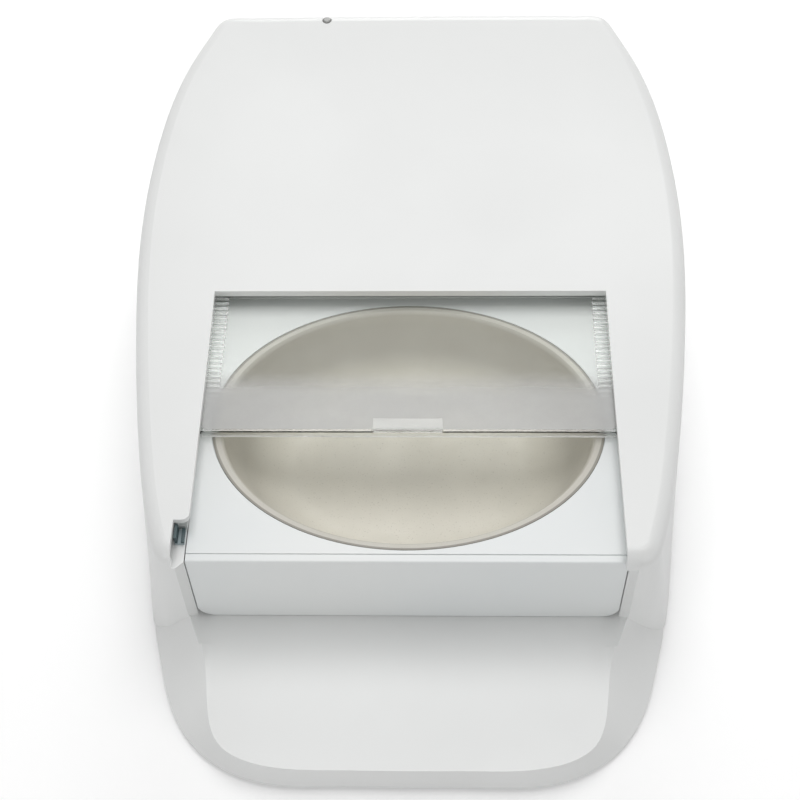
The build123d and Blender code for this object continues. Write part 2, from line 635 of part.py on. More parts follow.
PINION_INNER = RACK_INNER + (RACK_WIDTH - GEAR_WIDTH) / 2
SHAFT_END = 91.0
GEAR_X = 38.0
MOTOR_DY = 10.0
CENTRES = (SHAFT_GEAR_TEETH + MOTOR_GEAR_TEETH) * MODULE / 2
MOTOR_DZ = -math.sqrt(CENTRES**2 - MOTOR_DY**2)
MOTOR_Y = SHAFT_Y + MOTOR_DY
MOTOR_Z = SHAFT_Z + MOTOR_DZ
OUTPUT_RADIUS = 2.0
mesh_angle = math.atan2(MOTOR_DZ, MOTOR_DY)
up_space = math.pi / 2 + math.pi / PINION_TEETH

with BuildPart() as drive_shaft:
    bar_x(SHAFT_RADIUS, (-SHAFT_END, SHAFT_END), SHAFT_Y, SHAFT_Z)
    chamfer(drive_shaft.edges().filter_by(GeomType.CIRCLE), 0.5)
save(drive_shaft.part, "drive_shaft")

for name, x_from in (("right", PINION_INNER), ("left", -PINION_INNER - GEAR_WIDTH)):
    pinion = gear_along_x(PINION_TEETH, up_space, x_from, GEAR_WIDTH, SHAFT_Y, SHAFT_Z, SHAFT_RADIUS)
    save(pinion, f"pinion_{name}")

shaft_gear = gear_along_x(
    SHAFT_GEAR_TEETH, mesh_angle, GEAR_X, GEAR_WIDTH, SHAFT_Y, SHAFT_Z, SHAFT_RADIUS
)
save(shaft_gear, "shaft_gear")
facing_space = mesh_angle + math.pi + math.pi / MOTOR_GEAR_TEETH
motor_gear = gear_along_x(
    MOTOR_GEAR_TEETH, facing_space, GEAR_X, GEAR_WIDTH, MOTOR_Y, MOTOR_Z, OUTPUT_RADIUS
)
save(motor_gear, "motor_gear")

BLOCK_INNER = 84.8
BLOCK_OUTER = 92.5
BLOCK_HALF_DEPTH = 7.0
BUSH_RADIUS = 4.5
BUSH_CLEARANCE = 0.05
for name, side in (("right", 1), ("left", -1)):
    across = sides((BLOCK_INNER, BLOCK_OUTER), side)
    along = (SHAFT_Y - BLOCK_HALF_DEPTH, SHAFT_Y + BLOCK_HALF_DEPTH)
    with BuildPart() as bearing_block:
        slab(across, along, (BASE_TOP, TUB_TOP))
        bar_x(BUSH_RADIUS, across, SHAFT_Y, SHAFT_Z, mode=Mode.SUBTRACT)
    save(bearing_block.part, f"bearing_block_{name}")
    with BuildPart() as shaft_bush:
        bar_x(BUSH_RADIUS, across, SHAFT_Y, SHAFT_Z)
        bar_x(SHAFT_RADIUS + BUSH_CLEARANCE, across, SHAFT_Y, SHAFT_Z, mode=Mode.SUBTRACT)
    save(shaft_bush.part, f"shaft_bush_{name}")

OUTPUT_END = GEAR_X + GEAR_WIDTH + 1.5
GEARBOX_RADIUS = 11.0
GEARBOX_X = (14.0, 34.0)
MOTOR_RADIUS = 10.0
MOTOR_FLAT = 7.6
MOTOR_X = (-16.0, 14.0)
BRACKET_THICK = 2.0
BRACKET_Y = (39.7, 60.0)
BRACKET_TOP = 51.2
OUTPUT_SOCKET = 6.0
with BuildPart() as output_shaft:
    bar_x(OUTPUT_RADIUS, (GEARBOX_X[1] - OUTPUT_SOCKET, OUTPUT_END), MOTOR_Y, MOTOR_Z)
save(output_shaft.part, "output_shaft")

with BuildPart() as gearbox:
    bar_x(GEARBOX_RADIUS, GEARBOX_X, MOTOR_Y, MOTOR_Z)
    socket = (GEARBOX_X[1] - OUTPUT_SOCKET, GEARBOX_X[1])
    bar_x(OUTPUT_RADIUS + BUSH_CLEARANCE, socket, MOTOR_Y, MOTOR_Z, mode=Mode.SUBTRACT)
save(gearbox.part, "gearbox")

with BuildPart() as motor_can:
    bar_x(MOTOR_RADIUS, MOTOR_X, MOTOR_Y, MOTOR_Z)
    flats = (MOTOR_Z - MOTOR_FLAT, MOTOR_Z + MOTOR_FLAT)
    slab(MOTOR_X, (MOTOR_Y - MOTOR_RADIUS, MOTOR_Y + MOTOR_RADIUS), flats, mode=Mode.INTERSECT)
save(motor_can.part, "motor_can")

with BuildPart() as motor_bracket:
    plate_x = (GEARBOX_X[1], GEARBOX_X[1] + BRACKET_THICK)
    slab(plate_x, BRACKET_Y, (BASE_TOP, BRACKET_TOP))
    slab((GEARBOX_X[0], plate_x[1]), BRACKET_Y, (BASE_TOP, BASE_TOP + BRACKET_THICK))
    bar_x(OUTPUT_RADIUS + 1.0, plate_x, MOTOR_Y, MOTOR_Z, mode=Mode.SUBTRACT)
save(motor_bracket.part, "motor_bracket")

bracket_x = GEARBOX_X[0] + 6.0
with BuildPart() as bracket_screws:
    for screw_y in (BRACKET_Y[0] + 4.0, BRACKET_Y[1] - 4.0):
        rod(2.4, bracket_x, screw_y, (BASE_TOP + BRACKET_THICK, BASE_TOP + BRACKET_THICK + 1.6))
save(bracket_screws.part, "bracket_screws")

# ---------------------------------------------------------------- electronics
CHIP_RISE = 2.0
with BuildPart() as main_board:
    slab((-BOARD_HALF, BOARD_HALF), (BOARD_FRONT, BOARD_REAR), (BOARD_Z, BOARD_Z + BOARD_THICK))
    for side in (-1, 1):
        for post_y in BOARD_POSTS[1:]:
            hole = (BOARD_Z, BOARD_Z + BOARD_THICK)
            rod(SCREW_RADIUS + HEAD_GAP, side * BOARD_POSTS[0], post_y, hole, mode=Mode.SUBTRACT)
save(main_board.part, "main_board")

board_top = BOARD_Z + BOARD_THICK
with BuildPart() as board_parts:
    slab((-8, 8), (118, 134), (board_top, board_top + CHIP_RISE))
    slab((20, 30), (120, 126), (board_top, board_top + CHIP_RISE))
    slab((-36, -22), (106, 112), (board_top, board_top + 6.0))
    slab((24, 36), (140, 147), (board_top, board_top + 6.0))
    rod(4.0, -28.0, 138.0, (board_top, board_top + 9.0))
    rod(3.0, -18.0, 142.0, (board_top, board_top + 7.0))
save(board_parts.part, "main_board_parts")

with BuildPart() as board_screws:
    for side in (-1, 1):
        for post_y in BOARD_POSTS[1:]:
            rod(SCREW_HEAD - 0.5, side * BOARD_POSTS[0], post_y, (board_top, board_top + 1.6))
            rod(POST_BORE, side * BOARD_POSTS[0], post_y, (BOARD_Z - 4.0, board_top + 1.0))
save(board_screws.part, "board_screws")

with BuildPart() as reader_board:
    low_x = (-LOW_BOARD_HALF, LOW_BOARD_HALF)
    slab(low_x, LOW_BOARD_Y, (LOW_BOARD_Z, LOW_BOARD_Z + BOARD_THICK))
    slab((-6, 6), (-88, -78), (LOW_BOARD_Z + BOARD_THICK, LOW_BOARD_Z + BOARD_THICK + 1.6))
save(reader_board.part, "reader_board")

COIL_HALF = (56.0, 18.0)
COIL_WIDTH = 4.0
COIL_Y = -140.0
COIL_RISE = 4.0
with BuildPart() as antenna_coil:
    with BuildSketch(Plane.XY.offset(BASE_TOP)):
        with Locations((0, COIL_Y)):
            RectangleRounded(2 * COIL_HALF[0], 2 * COIL_HALF[1], 10.0)
            RectangleRounded(
                2 * (COIL_HALF[0] - COIL_WIDTH),
                2 * (COIL_HALF[1] - COIL_WIDTH),
                10.0 - COIL_WIDTH,
                mode=Mode.SUBTRACT,
            )
    extrude(amount=COIL_RISE)
save(antenna_coil.part, "antenna_coil")

# ---------------------------------------------------------------- cover sensors
SENSOR_GAP = 0.3
SENSOR_Y = (-98.8, -92.3)
SENSOR_TOP = 65.0
with BuildPart() as closed_sensor:
    sensor_x = (NOTCH_X + SENSOR_GAP, -BAY_HALF - SENSOR_GAP)
    sensor_y = (SENSOR_Y[0], SENSOR_Y[1] - SENSOR_GAP)
    slab(sensor_x, sensor_y, (TUB_TOP, TUB_TOP + 1.0))
    slab((sensor_x[0], -COVER_HALF - RUN), sensor_y, (TUB_TOP, COVER_TOP + RUN))
    slab((sensor_x[1] - 1.2, sensor_x[1]), sensor_y, (TUB_TOP, RAIL_LEDGE - 0.2))
save(closed_sensor.part, "closed_sensor")

OPEN_TRAVEL = 60.0
CLOSED_TRAVEL = 53.0
STOP_GAP = 1.0
OPEN_SENSOR_X = (-80.0, -70.0)
open_y = COVER_REAR + OPEN_TRAVEL + STOP_GAP
with BuildPart() as open_sensor:
    slab(OPEN_SENSOR_X, (open_y, open_y + 4.0), (BASE_TOP, 56.0))
    slab(OPEN_SENSOR_X, (open_y, open_y + 6.0), (56.0, SENSOR_TOP))
save(open_sensor.part, "open_sensor")

# ---------------------------------------------------------------- rear controls
BUTTON_FACE = 173.5
BUTTON_FLANGE = 6.4
FLANGE_Y = (168.2, 169.5)
STEM_RADIUS = 2.0
BUTTON_TRAVEL = 1.2
SWITCH_GAP = 0.2
stem_end = FLANGE_Y[0] - 1.0
switch_face = stem_end - BUTTON_TRAVEL - SWITCH_GAP
BUTTON_BOARD_Y = 161.5
BUTTON_BOARD_HALF = 26.0
for name, side in (("learn", -1), ("open", 1)):
    with BuildPart() as button:
        bar_y(BUTTON_RADIUS, side * BUTTON_X, (FLANGE_Y[1], BUTTON_FACE), BUTTON_Z)
        fillet(button.edges().filter_by(GeomType.CIRCLE).sort_by(Axis.Y)[-1], 0.8)
        bar_y(BUTTON_FLANGE, side * BUTTON_X, FLANGE_Y, BUTTON_Z)
        bar_y(STEM_RADIUS, side * BUTTON_X, (stem_end, FLANGE_Y[0]), BUTTON_Z)
    save(button.part, f"{name}_button")

with BuildPart() as button_board:
    board_y = (BUTTON_BOARD_Y, BUTTON_BOARD_Y + BOARD_THICK)
    slab((-BUTTON_BOARD_HALF, BUTTON_BOARD_HALF), board_y, (BOX_ROOF + BOX_WALL, BUTTON_Z + 8.0))
save(button_board.part, "button_board")

with BuildPart() as button_switches:
    for side in (-1, 1):
        low = (side * BUTTON_X - 3.0, side * BUTTON_X + 3.0)
        body_y = (BUTTON_BOARD_Y + BOARD_THICK, switch_face - 1.0)
        slab(low, body_y, (BUTTON_Z - 3.0, BUTTON_Z + 3.0))
        bar_y(1.5, side * BUTTON_X, (switch_face - 1.0, switch_face), BUTTON_Z)
save(button_switches.part, "button_switches")

LENS_Z = 92.8
with BuildPart() as indicator_lens:
    rod(LENS_RADIUS - 0.1, LENS_X, LENS_Y, (LENS_FOOT, LENS_Z))
    fillet(indicator_lens.edges().filter_by(GeomType.CIRCLE).sort_by(Axis.Z)[-1], 0.8)
    rod(LENS_RADIUS + 1.0, LENS_X, LENS_Y - 3.4, (LENS_FOOT - 1.0, LENS_FOOT))
save(indicator_lens.part, "indicator_lens")

JACK_HALF = 4.5
JACK_Y = (156.5, 169.5)
JACK_BORE = 2.9
with BuildPart() as dc_jack:
    slab((JACK_X - JACK_HALF, JACK_X + JACK_HALF), JACK_Y, (BASE_TOP, JACK_Z + JACK_HALF))
    bar_y(JACK_BORE, JACK_X, (JACK_Y[0] + 3.0, JACK_Y[1]), JACK_Z, mode=Mode.SUBTRACT)
    bar_y(0.9, JACK_X, (JACK_Y[0] + 2.0, JACK_Y[1] - 1.0), JACK_Z)
save(dc_jack.part, "dc_jack")
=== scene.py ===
# %% [markdown]
# # A pet feeder with a sliding clear cover
#
# The feeder is a low white housing.  A hood at the rear slopes down to a wide bay with an
# oval bowl, and a clear cover slides over the bowl on two moulded racks.  The solid parts
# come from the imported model, so this file gives them their finishes, adds the small parts
# that only the eye needs, and sets up floor, lamps and camera.

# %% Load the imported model
import math

import bpy
from mathutils import Matrix, Vector


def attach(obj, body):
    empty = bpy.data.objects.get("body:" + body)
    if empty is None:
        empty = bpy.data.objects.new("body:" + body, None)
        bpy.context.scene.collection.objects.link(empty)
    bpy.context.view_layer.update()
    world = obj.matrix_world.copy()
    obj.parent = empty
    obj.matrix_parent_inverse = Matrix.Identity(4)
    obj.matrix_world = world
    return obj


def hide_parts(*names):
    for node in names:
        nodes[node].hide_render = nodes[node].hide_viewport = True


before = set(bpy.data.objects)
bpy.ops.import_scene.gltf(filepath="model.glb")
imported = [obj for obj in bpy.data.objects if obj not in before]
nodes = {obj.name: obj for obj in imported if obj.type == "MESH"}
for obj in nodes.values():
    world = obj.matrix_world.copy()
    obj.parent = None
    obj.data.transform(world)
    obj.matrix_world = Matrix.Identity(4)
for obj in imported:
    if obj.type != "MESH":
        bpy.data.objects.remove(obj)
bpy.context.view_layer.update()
MM = 0.001

# %% [markdown]
# ## Camera
#
# A camera could be placed by eye, but here its place was worked out from edges whose real
# lengths are known: the bay, the bowl and the cover.  It looks down from in front, turned
# a little to the left and tilted a hair, as a hand-held camera is.


# %% Camera
def add_object(name, data, place=None):
    """Puts an object with the given data into the scene."""
    added = bpy.data.objects.new(name, data)
    bpy.context.collection.objects.link(added)
    if place is not None:
        added.matrix_world = place
    return added


IMAGE_WIDTH = 800  # pixels across the photograph
FOCAL_PIXELS = 1442.6
SENSOR_WIDTH = 36.0
EYE = Vector((12.41, -376.98, 539.94)) * MM
YAW, DOWN, ROLL = math.radians(2.624), math.radians(54.195), math.radians(-2.090)

camera_data = bpy.data.cameras.new("camera")
camera_data.sensor_width = SENSOR_WIDTH
camera_data.lens = FOCAL_PIXELS / IMAGE_WIDTH * SENSOR_WIDTH
turn = Matrix.Rotation(YAW, 4, "Z") @ Matrix.Rotation(math.pi / 2 - DOWN, 4, "X")
camera_place = Matrix.Translation(EYE) @ turn @ Matrix.Rotation(ROLL, 4, "Z")
bpy.context.scene.camera = add_object("camera", camera_data, camera_place)
print("camera lens", round(camera_data.lens, 1), "mm")

# %% [markdown]
# ## Floor and background
#
# The product stands on plain white paper.  A huge plane serves as that paper.  Seen by the
# camera directly, or in a reflection or through clear plastic, the world is pure white, so
# the paper has no horizon; the same world lights the object at a lower, plain strength.


# %% Helpers for shader trees
def new_material(name):
    """A node material with its Principled shader, ready to be wired."""
    material = bpy.data.materials.new(name)
    material.use_nodes = True
    return material, material.node_tree, material.node_tree.nodes["Principled BSDF"]


def node(tree, kind, **values):
    """Adds a shader node and sets its plain properties."""
    added = tree.nodes.new(kind)
    for key, value in values.items():
        setattr(added, key, value)
    return added


def math_node(tree, operation, a, b=None, clamp=False):
    """A Math node whose inputs are numbers or other sockets."""
    added = node(tree, "ShaderNodeMath", operation=operation, use_clamp=clamp)
    for index, value in enumerate((a, b)):
        if value is None:
            continue
        if isinstance(value, (int, float)):
            added.inputs[index].default_value = value
        else:
            tree.links.new(value, added.inputs[index])
    return added.outputs[0]


def product(tree, first, *others):
    """Numbers or sockets multiplied together, from left to right."""
    for other in others:
        first = math_node(tree, "MULTIPLY", first, other)
    return first


def linear(red, green, blue):
    """A colour as seen on a screen, 0 to 255, as the linear values that shaders use."""
    values = []
    for channel in (red, green, blue):
        share = channel / 255
        values.append(share / 12.92 if share <= 0.04045 else ((share + 0.055) / 1.055) ** 2.4)
    return (*values, 1.0)


print("helpers ready, mid grey is", tuple(round(v, 3) for v in linear(128, 128, 128)[:3]))

# %% Floor
FLOOR_HALF = 3.0
FLOOR_DROP = 0.2 * MM
CAMERA_LIFT = 0.20  # light that the paper shows to the camera alone, so that it reads as white
WHITE = (1.0, 1.0, 1.0, 1.0)

floor_mesh = bpy.data.meshes.new("floor")
corner_signs = ((-1, -1), (1, -1), (1, 1), (-1, 1))
floor_corners = [(x * FLOOR_HALF, y * FLOOR_HALF, -FLOOR_DROP) for x, y in corner_signs]
floor_mesh.from_pydata(floor_corners, [], [(0, 1, 2, 3)])
paper, tree, shader = new_material("white_paper")
shader.inputs["Base Color"].default_value = linear(250, 250, 250)
shader.inputs["Roughness"].default_value = 0.9
shader.inputs["Specular IOR Level"].default_value = 0.1
shader.inputs["Emission Color"].default_value = WHITE
rays = node(tree, "ShaderNodeLightPath")
lift = math_node(tree, "MULTIPLY", rays.outputs["Is Camera Ray"], CAMERA_LIFT)
tree.links.new(lift, shader.inputs["Emission Strength"])
floor_mesh.materials.append(paper)
add_object("floor", floor_mesh)
print("floor", 2 * FLOOR_HALF, "m across")

# %% World
WORLD_LIGHT = 0.41
world = bpy.data.worlds.new("studio")
bpy.context.scene.world = world
world.use_nodes = True
tree = world.node_tree
backdrop = tree.nodes["Background"]
backdrop.inputs["Color"].default_value = WHITE
backdrop.inputs["Strength"].default_value = WORLD_LIGHT
seen = node(tree, "ShaderNodeBackground")
seen.inputs["Color"].default_value = WHITE
seen.inputs["Strength"].default_value = 1.0
rays = node(tree, "ShaderNodeLightPath")
either = math_node(tree, "MAXIMUM", rays.outputs["Is Camera Ray"], rays.outputs["Is Glossy Ray"])
either = math_node(tree, "MAXIMUM", either, rays.outputs["Is Transmission Ray"])
choose = node(tree, "ShaderNodeMixShader")
tree.links.new(either, choose.inputs[0])
tree.links.new(backdrop.outputs[0], choose.inputs[1])
tree.links.new(seen.outputs[0], choose.inputs[2])
tree.links.new(choose.outputs[0], tree.nodes["World Output"].inputs["Surface"])
bpy.context.scene.view_settings.view_transform = "Standard"
print("world lights at", WORLD_LIGHT)

# %% [markdown]
# ## Lamps
#
# Large soft boxes give the housing its shape: a wide one above the hood makes the hood and
# the cheek tops bright, and one low behind it reaches over the hood to the front wall of the
# bowl and leaves the far wall in shade.  Two weak ones low in front, left and right, light
# only what stands upright.  Big lamps give soft shadows; a small one would print hard edges.

# %% Lamps
BODY_MIDDLE = Vector((0.0, 0.0, 0.05))


def soft_box(name, place, size, power):
    """A square area lamp at a place, turned towards the middle of the housing."""
    lamp_data = bpy.data.lights.new(name, "AREA")
    lamp_data.shape = "SQUARE"
    lamp_data.size = size
    lamp_data.energy = power
    direction = BODY_MIDDLE - Vector(place)
    turn = direction.to_track_quat("-Z", "Y").to_matrix().to_4x4()
    add_object(name, lamp_data, Matrix.Translation(Vector(place)) @ turn)


soft_box("top_box", (0.05, 0.35, 1.35), size=0.9, power=7.4)
soft_box("rear_box", (0.10, 1.25, 0.72), size=0.7, power=4.5)
soft_box("left_box", (-0.95, -1.15, 0.42), size=0.7, power=2.5)
soft_box("right_box", (1.05, -1.00, 0.36), size=0.7, power=1.5)

# %% [markdown]
# ## Shared surface effects
#
# Moulded plastic is never perfectly even.  A polished mould leaves a very shallow orange
# peel, hands leave duller patches, and dust settles on what faces up.  Each effect could be
# rebuilt in every material, but then a change would have to be made many times.  So each is
# a node group with named inputs, and a material only chooses how much of it shows.


# %% Helpers for node groups
def new_group(name, inputs, output):
    """A shader node group with float inputs (name: default) and one float output."""
    group = bpy.data.node_groups.new(name, "ShaderNodeTree")
    for label, default in inputs.items():
        socket = group.interface.new_socket(name=label, in_out="INPUT", socket_type="NodeSocketFloat")
        socket.default_value = default
    group.interface.new_socket(name=output, in_out="OUTPUT", socket_type="NodeSocketFloat")
    return group, group.nodes.new("NodeGroupInput"), group.nodes.new("NodeGroupOutput")


def object_place(tree):
    """The socket with a surface point's place on its piece, in metres."""
    return node(tree, "ShaderNodeTexCoord").outputs["Object"]


def axes(tree, socket):
    """The X, Y and Z sockets of a vector socket."""
    split = node(tree, "ShaderNodeSeparateXYZ")
    tree.links.new(socket, split.inputs[0])
    return split.outputs


def noise(tree, scale, detail, coordinates=None):
    """Noise on Object coordinates; the scale is a number or a socket, in cells per metre."""
    texture = node(tree, "ShaderNodeTexNoise")
    texture.inputs["Detail"].default_value = detail
    if coordinates is None:
        coordinates = object_place(tree)
    tree.links.new(coordinates, texture.inputs["Vector"])
    if isinstance(scale, (int, float)):
        texture.inputs["Scale"].default_value = scale
    else:
        tree.links.new(scale, texture.inputs["Scale"])
    return texture.outputs["Fac"]


def spread(tree, value, low, high, to_low=0.0, to_high=1.0):
    """Maps a value from one range to another and keeps it inside the new one."""
    mapped = node(tree, "ShaderNodeMapRange", interpolation_type="SMOOTHSTEP")
    tree.links.new(value, mapped.inputs["Value"])
    for label, number in (("From Min", low), ("From Max", high), ("To Min", to_low), ("To Max", to_high)):
        mapped.inputs[label].default_value = number
    return mapped.outputs["Result"]


print("group helpers ready")

# %% Group: orange peel and grain
grain_group, given, result = new_group(
    "moulded_grain", {"Peel Scale": 160.0, "Grain Scale": 2600.0, "Grain Share": 0.35}, "Height"
)
peel = noise(grain_group, given.outputs["Peel Scale"], detail=2.0)
grain = noise(grain_group, given.outputs["Grain Scale"], detail=3.0)
grain = math_node(grain_group, "MULTIPLY", grain, given.outputs["Grain Share"])
grain_group.links.new(math_node(grain_group, "ADD", peel, grain), result.inputs["Height"])
print("group", grain_group.name)

# %% Group: patches left by hands
touch_group, given, result = new_group(
    "handling_marks", {"Patch Scale": 22.0, "Streak Scale": 130.0}, "Mask"
)
patch = noise(touch_group, given.outputs["Patch Scale"], detail=1.0)
patch = spread(touch_group, patch, low=0.35, high=0.70)
streak = noise(touch_group, given.outputs["Streak Scale"], detail=1.0)
streak = spread(touch_group, streak, low=0.2, high=0.8)
touch_group.links.new(math_node(touch_group, "MULTIPLY", patch, streak), result.inputs["Mask"])
print("group", touch_group.name)

# %% Group: settled dust
# Dust is a thin uneven film with a few flecks, on faces whose normal points up.
dust_group, given, result = new_group("settled_dust", {"Fleck Scale": 900.0, "Amount": 0.5}, "Mask")
normal = axes(dust_group, node(dust_group, "ShaderNodeNewGeometry").outputs["Normal"])
upward = spread(dust_group, normal["Z"], low=0.35, high=0.95)
fleck = noise(dust_group, given.outputs["Fleck Scale"], detail=0.0)
fleck = spread(dust_group, fleck, low=0.74, high=0.82)
film = noise(dust_group, scale=30.0, detail=3.0)
film = spread(dust_group, film, low=0.3, high=0.8, to_low=0.1, to_high=0.6)
settled = math_node(dust_group, "MULTIPLY", math_node(dust_group, "ADD", fleck, film), upward)
settled = math_node(dust_group, "MULTIPLY", settled, given.outputs["Amount"], clamp=True)
dust_group.links.new(settled, result.inputs["Mask"])
print("group", dust_group.name)

# %% Group: fine scratches
# Scratches are noise squeezed along one direction and cut to thin ridges, laid three times
# at different angles and broken up by a coarser noise.
SCRATCH_TURNS = (12, 77, 131)  # degrees
SCRATCH_LEAN = (0.3, 0.2)  # radians, so that upright faces are scratched too
SCRATCH_SQUEEZE = 30.0
SCRATCH_WIDTH = 0.012  # how far the noise may be from its middle value
scratch_group, given, result = new_group("fine_scratches", {"Scale": 60.0}, "Mask")
lines = None
for turn_degrees in SCRATCH_TURNS:
    mapping = node(scratch_group, "ShaderNodeMapping")
    mapping.inputs["Rotation"].default_value = (*SCRATCH_LEAN, math.radians(turn_degrees))
    scratch_group.links.new(object_place(scratch_group), mapping.inputs["Vector"])
    squeezed = node(scratch_group, "ShaderNodeVectorMath", operation="MULTIPLY")
    squeezed.inputs[1].default_value = (1.0, SCRATCH_SQUEEZE, 1.0)
    scratch_group.links.new(mapping.outputs[0], squeezed.inputs[0])
    field = noise(scratch_group, given.outputs["Scale"], 1.0, squeezed.outputs[0])
    away = math_node(scratch_group, "ABSOLUTE", math_node(scratch_group, "SUBTRACT", field, 0.5))
    ridge = spread(scratch_group, away, low=0.0, high=SCRATCH_WIDTH, to_low=1.0, to_high=0.0)
    lines = ridge if lines is None else math_node(scratch_group, "MAXIMUM", lines, ridge)
breaks = spread(scratch_group, noise(scratch_group, scale=55.0, detail=2.0), low=0.50, high=0.62)
scratch_group.links.new(math_node(scratch_group, "MULTIPLY", lines, breaks), result.inputs["Mask"])
print("group", scratch_group.name)


# %% Placing groups in a material
def use_group(tree, group, output, **values):
    """Places a group and returns one of its outputs; underscores in names stand for spaces."""
    placed = node(tree, "ShaderNodeGroup")
    placed.node_tree = group
    for label, number in values.items():
        placed.inputs[label.replace("_", " ")].default_value = number
    return placed.outputs[output]


def bump(tree, shader, height, depth):
    """Feeds a height, 0 to 1, through a Bump node; the depth is in millimetres."""
    bumped = node(tree, "ShaderNodeBump")
    bumped.inputs["Distance"].default_value = depth * MM
    tree.links.new(height, bumped.inputs["Height"])
    tree.links.new(bumped.outputs[0], shader.inputs["Normal"])


def two_tone(tree, mask, low, high):
    """A colour that goes from low to high as a mask goes from 0 to 1."""
    mix = node(tree, "ShaderNodeMix", data_type="RGBA")
    colours = [socket for socket in mix.inputs if socket.type == "RGBA"]
    tree.links.new(mask, mix.inputs["Factor"])
    for socket, colour in zip(colours, (low, high)):
        if isinstance(colour, tuple):
            socket.default_value = colour
        else:
            tree.links.new(colour, socket)
    return [socket for socket in mix.outputs if socket.type == "RGBA"][0]


print("placing helpers ready")

# %% [markdown]
# ## White housing plastic
#
# The housing, tray and base are glossy white plastic, very slightly cool.  One flat white
# would look like paper, so the colour drifts a little between two near whites, hands dull
# the gloss in patches, and the mould's orange peel bends the reflections of the soft boxes.
# The same recipe, with other tones and gloss, makes the rails, gears, buttons and black
# mouldings.  The whites stay rougher than 0.28, because a roughness that wanders across
# about 0.27 comes out of the denoiser in blotches.

# %% Moulded plastic
DUST_PALE = (226, 224, 218)
DUST_ON_BLACK = (90, 88, 84)
DUST_ROUGHNESS = 0.15


def moulded_plastic(name, tone, shade, gloss, dull, dust, depth=0.012, dusty=DUST_PALE):
    """Opaque plastic between two near tones, with its least and greatest roughness."""
    material, tree, shader = new_material(name)
    drift = spread(tree, noise(tree, scale=9.0, detail=3.0), low=0.35, high=0.65)
    colour = two_tone(tree, drift, linear(*tone), linear(*shade))
    dust_mask = use_group(tree, dust_group, "Mask", Amount=dust)
    colour = two_tone(tree, dust_mask, colour, linear(*dusty))
    tree.links.new(colour, shader.inputs["Base Color"])
    marks = use_group(tree, touch_group, "Mask")
    rough = spread(tree, marks, low=0.0, high=1.0, to_low=gloss, to_high=dull)
    rough = math_node(tree, "ADD", rough, product(tree, dust_mask, DUST_ROUGHNESS))
    tree.links.new(rough, shader.inputs["Roughness"])
    bump(tree, shader, use_group(tree, grain_group, "Height"), depth)
    shader.inputs["IOR"].default_value = 1.5
    return material


housing_white = moulded_plastic("housing_white", (237, 238, 237), (233, 234, 233), 0.28, 0.31, dust=0.02)
tray_white = moulded_plastic("tray_white", (236, 238, 237), (232, 235, 235), 0.28, 0.34, dust=0.02)
base_white = moulded_plastic(
    "base_white", (228, 230, 230), (220, 222, 222), 0.45, 0.60, dust=0.0, depth=0.03
)
rail_grey = moulded_plastic("rail_grey", (214, 217, 216), (205, 209, 208), 0.40, 0.55, dust=0.1)
gear_acetal = moulded_plastic("gear_acetal", (238, 235, 226), (230, 227, 217), 0.38, 0.50, dust=0.0)
button_grey = moulded_plastic("button_grey", (150, 154, 155), (143, 147, 148), 0.42, 0.55, dust=0.05)
black_moulding = moulded_plastic(
    "black_moulding", (38, 38, 40), (31, 31, 33), 0.45, 0.60, dust=0.1, dusty=DUST_ON_BLACK
)
plastics = (housing_white, tray_white, base_white, rail_grey, gear_acetal, button_grey, black_moulding)
print("plastics", [material.name for material in plastics])

# %% [markdown]
# ## Bowl
#
# The bowl is satin stoneware-coloured plastic: warm grey, faintly mottled, scratched by
# spoons and washing up where food lies.  A scratch is both a paler line and a shallow
# groove, so one mask feeds the colour, the roughness and the bump.  The bottom is painted
# paler than the wall, as painted light on the open floor and painted shade on the walls, so
# the colour follows the height in the bowl, and a dark line of painted shadow sits where the
# rim meets the tray: a share of the way out to the oval rim tells where.

# %% Bowl plastic
# The bottom's painted light fades into the wall's painted shade between these two heights.
BOWL_PAINTED_LIGHT_Z = (27.0 * MM, 39.0 * MM)  # the pale bottom turns into the wall's tone between these
RIM_HALF_LENGTH = 80.0 * MM
RIM_HALF_WIDTH = 60.0 * MM
RIM_MIDDLE_Y = -40.5 * MM
RIM_SHADOW_SHARE = (0.984, 0.990)  # where the painted shadow line starts, as a share of the way out
RIM_SHADOW_STRENGTH = 0.75
bowl_grey, tree, shader = new_material("bowl_grey")
mottle = spread(tree, noise(tree, scale=46.0, detail=4.0), low=0.3, high=0.7)
place = axes(tree, object_place(tree))
# The bottom is painted paler and the wall darker: painted light on the open floor, painted shade on the
# walls.
height = spread(tree, place["Z"], *BOWL_PAINTED_LIGHT_Z)
upper = two_tone(tree, mottle, linear(203, 200, 190), linear(198, 194, 184))
lower = two_tone(tree, mottle, linear(234, 230, 218), linear(228, 224, 212))
colour = two_tone(tree, height, lower, upper)
fleck = spread(tree, noise(tree, scale=1500.0, detail=1.0), low=0.66, high=0.74, to_high=0.35)
colour = two_tone(tree, fleck, colour, linear(176, 170, 156))
scratches = use_group(tree, scratch_group, "Mask", Scale=90.0)
colour = two_tone(tree, product(tree, scratches, 0.30), colour, linear(224, 221, 212))
print("bowl colours ready")
